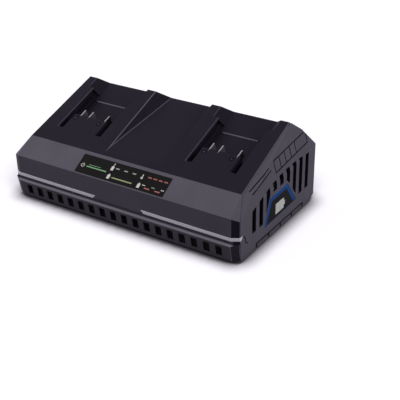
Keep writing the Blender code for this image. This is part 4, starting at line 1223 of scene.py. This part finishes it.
@dataclass
class BayMarks:
    """Round pole marks on the tongue of each bay, printed as a ring of painted shade and a sign of
    painted highlight.
    """

    radius: float = 2.2 * MM
    line: float = 1.0 * MM
    stroke: float = 0.7 * MM
    sign: float = 2.4 * MM
    up_deck: float = 38.3 * MM
    plus: float = -17.2 * MM
    minus: float = 14.5 * MM

    def rings(self, art: Print) -> None:
        """Draw the ring of both poles."""
        for x in (self.plus, self.minus):
            art.ring((x, self.up_deck), self.radius, self.line)

    def signs(self, art: Print) -> None:
        """Draw a plus and a minus, the plus as one bar and two stubs.

        Args:
            art: Print of one bay.
        """
        for x in (self.plus, self.minus):
            art.bar(x, self.up_deck, self.sign, self.stroke)
        stub = (self.sign - self.stroke) / 2
        for step in (-1.0, 1.0):
            art.bar(self.plus, self.up_deck + step * (self.stroke + stub) / 2, self.stroke, stub)

    def build(self) -> None:
        """Print the rings and the signs of each bay."""
        inks = {"rings": (self.rings, POLE_RING_SHADE_INK), "signs": (self.signs, POLE_SIGN_HIGHLIGHT_INK)}
        for side in Side:
            for word, (draw, finish) in inks.items():
                art = Print(LINES.bay(side))
                draw(art)
                name = f"{side.word}_pole_{word}"
                piece(name, art.mesh(name), [finish])


@dataclass
class BayBeads:
    """Slim rounded bead at the foot of the step behind each pocket, painted along its length with a
    highlight.
    """

    middle: float = -2.2 * MM
    half: float = 20.8 * MM
    up_deck: float = 80.95 * MM
    level: float = -14.05 * MM
    width: float = 1.8 * MM
    height: float = 1.2 * MM
    wear: float = 1.0
    steps: int = 8

    def mesh(self, name: str, place: Matrix) -> Mesh:
        """Draw one bead across its bay.

        Args:
            name: Name of the mesh.
            place: Frame on the deck at the middle of the bay.

        Returns:
            Closed half-round bar.
        """
        turns = [math.pi * i / self.steps for i in range(self.steps + 1)]
        rounding = [(self.width / 2 * math.cos(t), self.height * math.sin(t)) for t in turns]
        form = bmesh.new()
        painted_highlight = form.faces.layers.float.new("worn_edge")
        rings = []
        for x in (self.middle - self.half, self.middle + self.half):
            points = [Vector((x, self.up_deck + up, self.level + out)) for up, out in rounding]
            rings.append([place @ point for point in points])
        for face in prism(form, rings):
            face[painted_highlight] = self.wear
        bmesh.ops.recalc_face_normals(form, faces=form.faces[:])
        return mesh_of(form, name)

    def build(self) -> None:
        """Make the bead of each bay."""
        for side in Side:
            name = f"{side.word}_step_bead"
            place = LINES.bay(side)
            piece(name, self.mesh(name, place), [DECK_ABS])


@dataclass
class Badge:
    """Blue trim of one end cover with a dark panel and a plain battery sign."""

    side: Side
    outline: Outline = (
        (-29.5 * MM, 17.4 * MM),
        (36.4 * MM, 19.3 * MM),
        (17.0 * MM, 45.5 * MM),
        (-18.8 * MM, 44.1 * MM),
    )
    border: float = 4.6 * MM
    foot: float = 0.4 * MM
    rounding: float = 0.25 * MM
    narrowest: float = 0.5 * MM
    panel_levels: tuple[float, float] = (0.01 * MM, 0.08 * MM)
    sign_levels: tuple[float, float] = (0.09 * MM, 0.14 * MM)
    sign_place: tuple[float, float] = (1.0 * MM, 27.4 * MM)
    battery_size: tuple[float, float] = (17.0 * MM, 11.5 * MM)
    cap_size: tuple[float, float] = (2.2 * MM, 5.0 * MM)

    def panel(self) -> list[tuple[float, float]]:
        """Draw the dark panel, inside the blue border on three sides.

        Returns:
            Outline on the right end, seen from outside.
        """
        margins = (self.foot, self.border, self.border, self.border)
        points = [Vector(p) for p in self.outline]
        lines = []
        for margin, start, end in zip(margins, points, points[1:] + points[:1]):
            way = (end - start).normalized()
            lines.append((start + margin * Vector((-way.y, way.x)), way))
        corners = []
        for (a, u), (b, v) in zip(lines[-1:] + lines, lines):
            gap = b - a
            share = (gap.x * v.y - gap.y * v.x) / (u.x * v.y - u.y * v.x)
            corners.append(tuple(a + share * u))
        return corners

    def build(self) -> None:
        """Make the trim, its panel and its sign."""
        word, turned = self.side.word, self.side.value
        node = f"{word}_badge"
        rim = (self.rounding, self.narrowest)
        Shell(node, f"{word}_trim", "blue_plastic", BADGE_BLUE, *rim).build()
        reach = max(abs(corner.x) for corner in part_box(node))
        face = BodyLines.end(self.side, reach)
        dark = Print(face, *self.panel_levels)
        dark.add([(x * turned, y) for x, y in self.panel()])
        piece(f"{word}_trim_panel", dark.mesh("panel"), [INK_BLACK])
        sign = Print(face, *self.sign_levels)
        x, y = self.sign_place
        cap_x = x + (self.battery_size[0] + self.cap_size[0]) / 2
        sign.bar(x * turned, y, *self.battery_size)
        sign.bar(cap_x * turned, y, *self.cap_size)
        piece(f"{word}_trim_sign", sign.mesh("sign"), [INK_WHITE])


def dress_node(node: str, finish: Finish) -> None:
    """Give a carried-over CAD node its finish.

    Args:
        node: Name of the CAD node.
        finish: Finish of all its faces.
    """
    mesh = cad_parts[node].data
    mesh.materials.clear()
    mesh.materials.append(finish.material())
    LOG.info("%s: %s", node, finish.name)


@dataclass
class Contacts:
    """Six plated blades and the blocks that hold them."""

    rounding: float = 0.22 * MM
    poles: tuple[str, ...] = ("positive", "sense", "negative")
    sleeved: tuple[str, ...] = ("negative",)

    def build(self) -> None:
        """Make the blades and dress their blocks."""
        rim = (self.rounding, self.rounding)
        for side in Side:
            for pole in self.poles:
                node = f"{side.word}_{pole}_blade"
                name = f"{side.word}_{pole}_contact"
                blade = BladeShell(node, name, "contact_metal", NICKEL, *rim)
                blade.corner_finish = NYLON_BLACK if pole in self.sleeved else None
                blade.build()
            dress_node(f"{side.word}_terminal_block", NYLON_BLACK)


@dataclass
class Electronics:
    """Boards, parts on them, leads, mains inlet and fan, which keep their CAD forms."""

    dressed: tuple[tuple[Finish, tuple[str, ...]], ...] = (
        (SILICONE_RED, ("left_lead", "right_lead")),
        (SOLDER_MASK, ("main_pcb", "indicator_pcb")),
        (FERRITE, ("transformer_core",)),
        (MAGNET_WIRE, ("transformer_winding", "line_choke")),
        (SLEEVE, ("bulk_capacitor", "output_capacitor_1", "output_capacitor_2")),
        (CERAMIC, ("fuse",)),
        (ALUMINIUM, ("primary_heat_sink", "secondary_heat_sink")),
        (LENS, tuple(f"indicator_led_{i}" for i in range(1, 5))),
        (NYLON_BLACK, ("power_transistor", "rectifier", "mains_inlet", "fan_frame", "fan_rotor")),
        (NICKEL, ("inlet_pin_left", "inlet_pin_right")),
    )

    def build(self) -> None:
        """Dress every node."""
        for finish, nodes in self.dressed:
            for node in nodes:
                dress_node(node, finish)


@dataclass
class ScrewSet:
    """Four cross-recessed screws of one size, in place of their CAD nodes."""

    word: str
    head_height: float
    shank: float
    recess: float
    recess_width: float
    recess_depth: float
    count: int = 4

    def build(self) -> None:
        """Make the screws from one tree."""
        nodes = [f"{self.word}_{i}" for i in range(1, self.count + 1)]
        boxes = [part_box(node) for node in nodes]
        feet = [Vector(((a.x + b.x) / 2, (a.y + b.y) / 2, a.z)) for a, b in boxes]
        low, high = boxes[0]
        values = {
            "Head Radius": (high.x - low.x) / 2,
            "Head Height": self.head_height,
            "Shank Radius": self.shank / 2,
            "Length": high.z - low.z,
            "Recess": (self.recess, self.recess_width, 2.0 * self.recess_depth),
            "Recess Turned": (self.recess_width, self.recess, 2.0 * self.recess_depth),
            "Finish": ZINC.material(),
        }
        made = piece(f"{self.word}s", grown(screw_tree(), values, feet), [ZINC])
        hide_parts(*nodes)


CASE_SCREWS = ScrewSet(
    "case_screw", head_height=2.5 * MM, shank=3.5 * MM, recess=4.0 * MM, recess_width=1.0 * MM,
    recess_depth=1.5 * MM,
)
BOARD_SCREWS = ScrewSet(
    "board_screw", head_height=1.8 * MM, shank=2.6 * MM, recess=3.0 * MM, recess_width=0.8 * MM,
    recess_depth=1.0 * MM,
)


@dataclass
class Feet:
    """Four rubber feet with rounded rims."""

    rounding: float = 0.4 * MM
    count: int = 4

    def build(self) -> None:
        """Make the feet."""
        rim = (self.rounding, self.rounding)
        for i in range(1, self.count + 1):
            Shell(f"rubber_foot_{i}", f"foot_{i}", "rubber", RUBBER, *rim).build()


@dataclass(frozen=True)
class Lamp:
    """Square soft lamp that faces the charger, in metres and watts."""

    name: str
    place: tuple[float, float, float]
    size: float
    power: float
    aim: tuple[float, float, float] = (0.0, 0.0, 0.04)

    def build(self) -> None:
        """Hang the lamp."""
        light = bpy.data.lights.new(self.name, "AREA")
        light.shape = "SQUARE"
        light.size = self.size
        light.energy = self.power
        made = shown(self.name, light)
        made.location = self.place
        way = Vector(self.aim) - Vector(self.place)
        made.rotation_euler = way.to_track_quat("-Z", "Y").to_euler()


@dataclass
class Studio:
    """Floor, lamps and camera."""

    camera_place: tuple[float, float, float] = (0.476462, -0.644384, 0.427594)
    turn: float = math.radians(31.364)
    dip: float = math.radians(27.277)
    sensor: float = 36.0
    lens: float = 75.04
    shift: tuple[float, float] = (-0.0772, -0.0428)
    nearest: float = 0.01
    floor_half: float = 4.0
    floor_colour: str = "76727C"
    floor_roughness: float = 0.9
    floor_specular: float = 0.1
    floor_glow: str = "FCFAFF"
    floor_lift: float = 0.95
    shadow_samples: int = 16
    shadow_reach: float = 20.0 * MM
    shadow_range: tuple[float, float] = (0.46, 0.98)
    cast_reach: float = 90.0 * MM
    cast_towards: tuple[float, float, float] = (0.5, -0.6, 0.62)
    cast_range: tuple[float, float] = (0.45, 0.86)
    sky: float = 0.2
    lamps: tuple[Lamp, ...] = (
        Lamp("top_lamp", (-0.7, -0.15, 1.1), 1.1, 8.0),
        Lamp("right_lamp", (1.15, 0.1, 0.85), 0.9, 6.0),
    )

    @staticmethod
    def seen(tree: NodeTree) -> NodeSocket:
        """Add the nodes that tell whether a ray comes from the camera, metal or glass.

        Args:
            tree: Tree of the floor or the world.

        Returns:
            Socket that is one for such a ray.
        """
        path = add_node(tree, "ShaderNodeLightPath").outputs
        ray = path["Is Camera Ray"]
        for other in ("Is Glossy Ray", "Is Transmission Ray"):
            either = add_node(tree, "ShaderNodeMath", {0: ray, 1: path[other]}, operation="MAXIMUM")
            ray = either.outputs[0]
        return ray

    def lift(self, tree: NodeTree) -> NodeSocket:
        """Add the light that whitens the floor, with painted shadow from occlusion: less near the
        charger and less in its cast shadow.

        Args:
            tree: Tree of the floor's material.

        Returns:
            Socket with the strength of that light.
        """
        near = {"Distance": self.shadow_reach}
        towards = dict(zip("XYZ", Vector(self.cast_towards).normalized()))
        normal = add_node(tree, "ShaderNodeCombineXYZ", towards).outputs[0]
        cast = {"Distance": self.cast_reach, "Normal": normal}
        shades = ((near, self.shadow_range, self.floor_lift), (cast, self.cast_range, 1.0))
        lift = self.seen(tree)
        for inputs, (dark, clear), full in shades:
            sky = add_node(tree, "ShaderNodeAmbientOcclusion", inputs, samples=self.shadow_samples)
            steps = {"From Min": dark, "From Max": clear, "To Max": full}
            share = add_node(tree, "ShaderNodeMapRange", {"Value": sky.outputs["AO"], **steps})
            both = {0: lift, 1: share.outputs[0]}
            lift = add_node(tree, "ShaderNodeMath", both, operation="MULTIPLY").outputs[0]
        return lift

    def floor_material(self) -> Material:
        """Make the pale paper sweep that the camera sees as white but that still takes shadow.

        Returns:
            Material of the floor.
        """
        material = empty_material("matt_paper_sweep")
        tree = material.node_tree
        surface = {
            "Base Color": linear(self.floor_colour),
            "Roughness": self.floor_roughness,
            "Specular IOR Level": self.floor_specular,
            "Emission Color": linear(self.floor_glow),
            "Emission Strength": self.lift(tree),
        }
        shader = add_node(tree, "ShaderNodeBsdfPrincipled", surface)
        add_node(tree, "ShaderNodeOutputMaterial", {"Surface": shader.outputs[0]})
        return material

    def floor(self) -> None:
        """Lay the floor."""
        half = self.floor_half
        mesh = bpy.data.meshes.new("floor")
        corners = [(-half, -half, 0), (half, -half, 0), (half, half, 0), (-half, half, 0)]
        mesh.from_pydata(corners, [], [(0, 1, 2, 3)])
        mesh.materials.append(self.floor_material())
        shown("floor", mesh)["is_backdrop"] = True

    def world(self) -> None:
        """Fill the room with even light, with white all round to look at."""
        world = bpy.data.worlds.new("studio")
        bpy.context.scene.world = world
        world.use_nodes = True
        tree = world.node_tree
        tree.nodes.clear()
        light = {0: self.seen(tree), 1: self.sky}
        strength = add_node(tree, "ShaderNodeMath", light, operation="MAXIMUM")
        white = {"Color": (1.0, 1.0, 1.0, 1.0), "Strength": strength.outputs[0]}
        shader = add_node(tree, "ShaderNodeBackground", white)
        add_node(tree, "ShaderNodeOutputWorld", {"Surface": shader.outputs[0]})

    def camera(self) -> None:
        """Set up the camera at the photograph's viewing angle."""
        data = bpy.data.cameras.new("camera")
        data.sensor_width = self.sensor
        data.lens = self.lens
        data.shift_x, data.shift_y = self.shift
        data.clip_start = self.nearest
        made = shown("camera", data)
        made.location = self.camera_place
        ahead, down = math.cos(self.dip), math.sin(self.dip)
        look = Vector((-math.sin(self.turn) * ahead, math.cos(self.turn) * ahead, -down))
        made.rotation_euler = look.to_track_quat("-Z", "Y").to_euler()
        bpy.context.scene.camera = made

    def build(self) -> None:
        """Set up the room."""
        bpy.context.scene.view_settings.view_transform = "Standard"
        self.floor()
        for lamp in self.lamps:
            lamp.build()
        self.world()
        self.camera()


def write_sizes() -> None:
    boxes = {"cad": CAD_BOX, "visual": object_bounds()}
    plain = {name: [list(corner) for corner in box] for name, box in boxes.items()}


def main() -> None:
    """Build the charger and its studio in order."""
    logging.basicConfig(level=logging.INFO, format="%(message)s")
    badges = [Badge(side) for side in Side]
    parts = [Case(), StatusLabel(), BayMarks(), BayBeads(), *badges, Contacts(), Electronics()]
    for part in (*parts, CASE_SCREWS, BOARD_SCREWS, Feet(), Studio()):
        part.build()


if __name__ == "__main__":
    main()
    write_sizes()
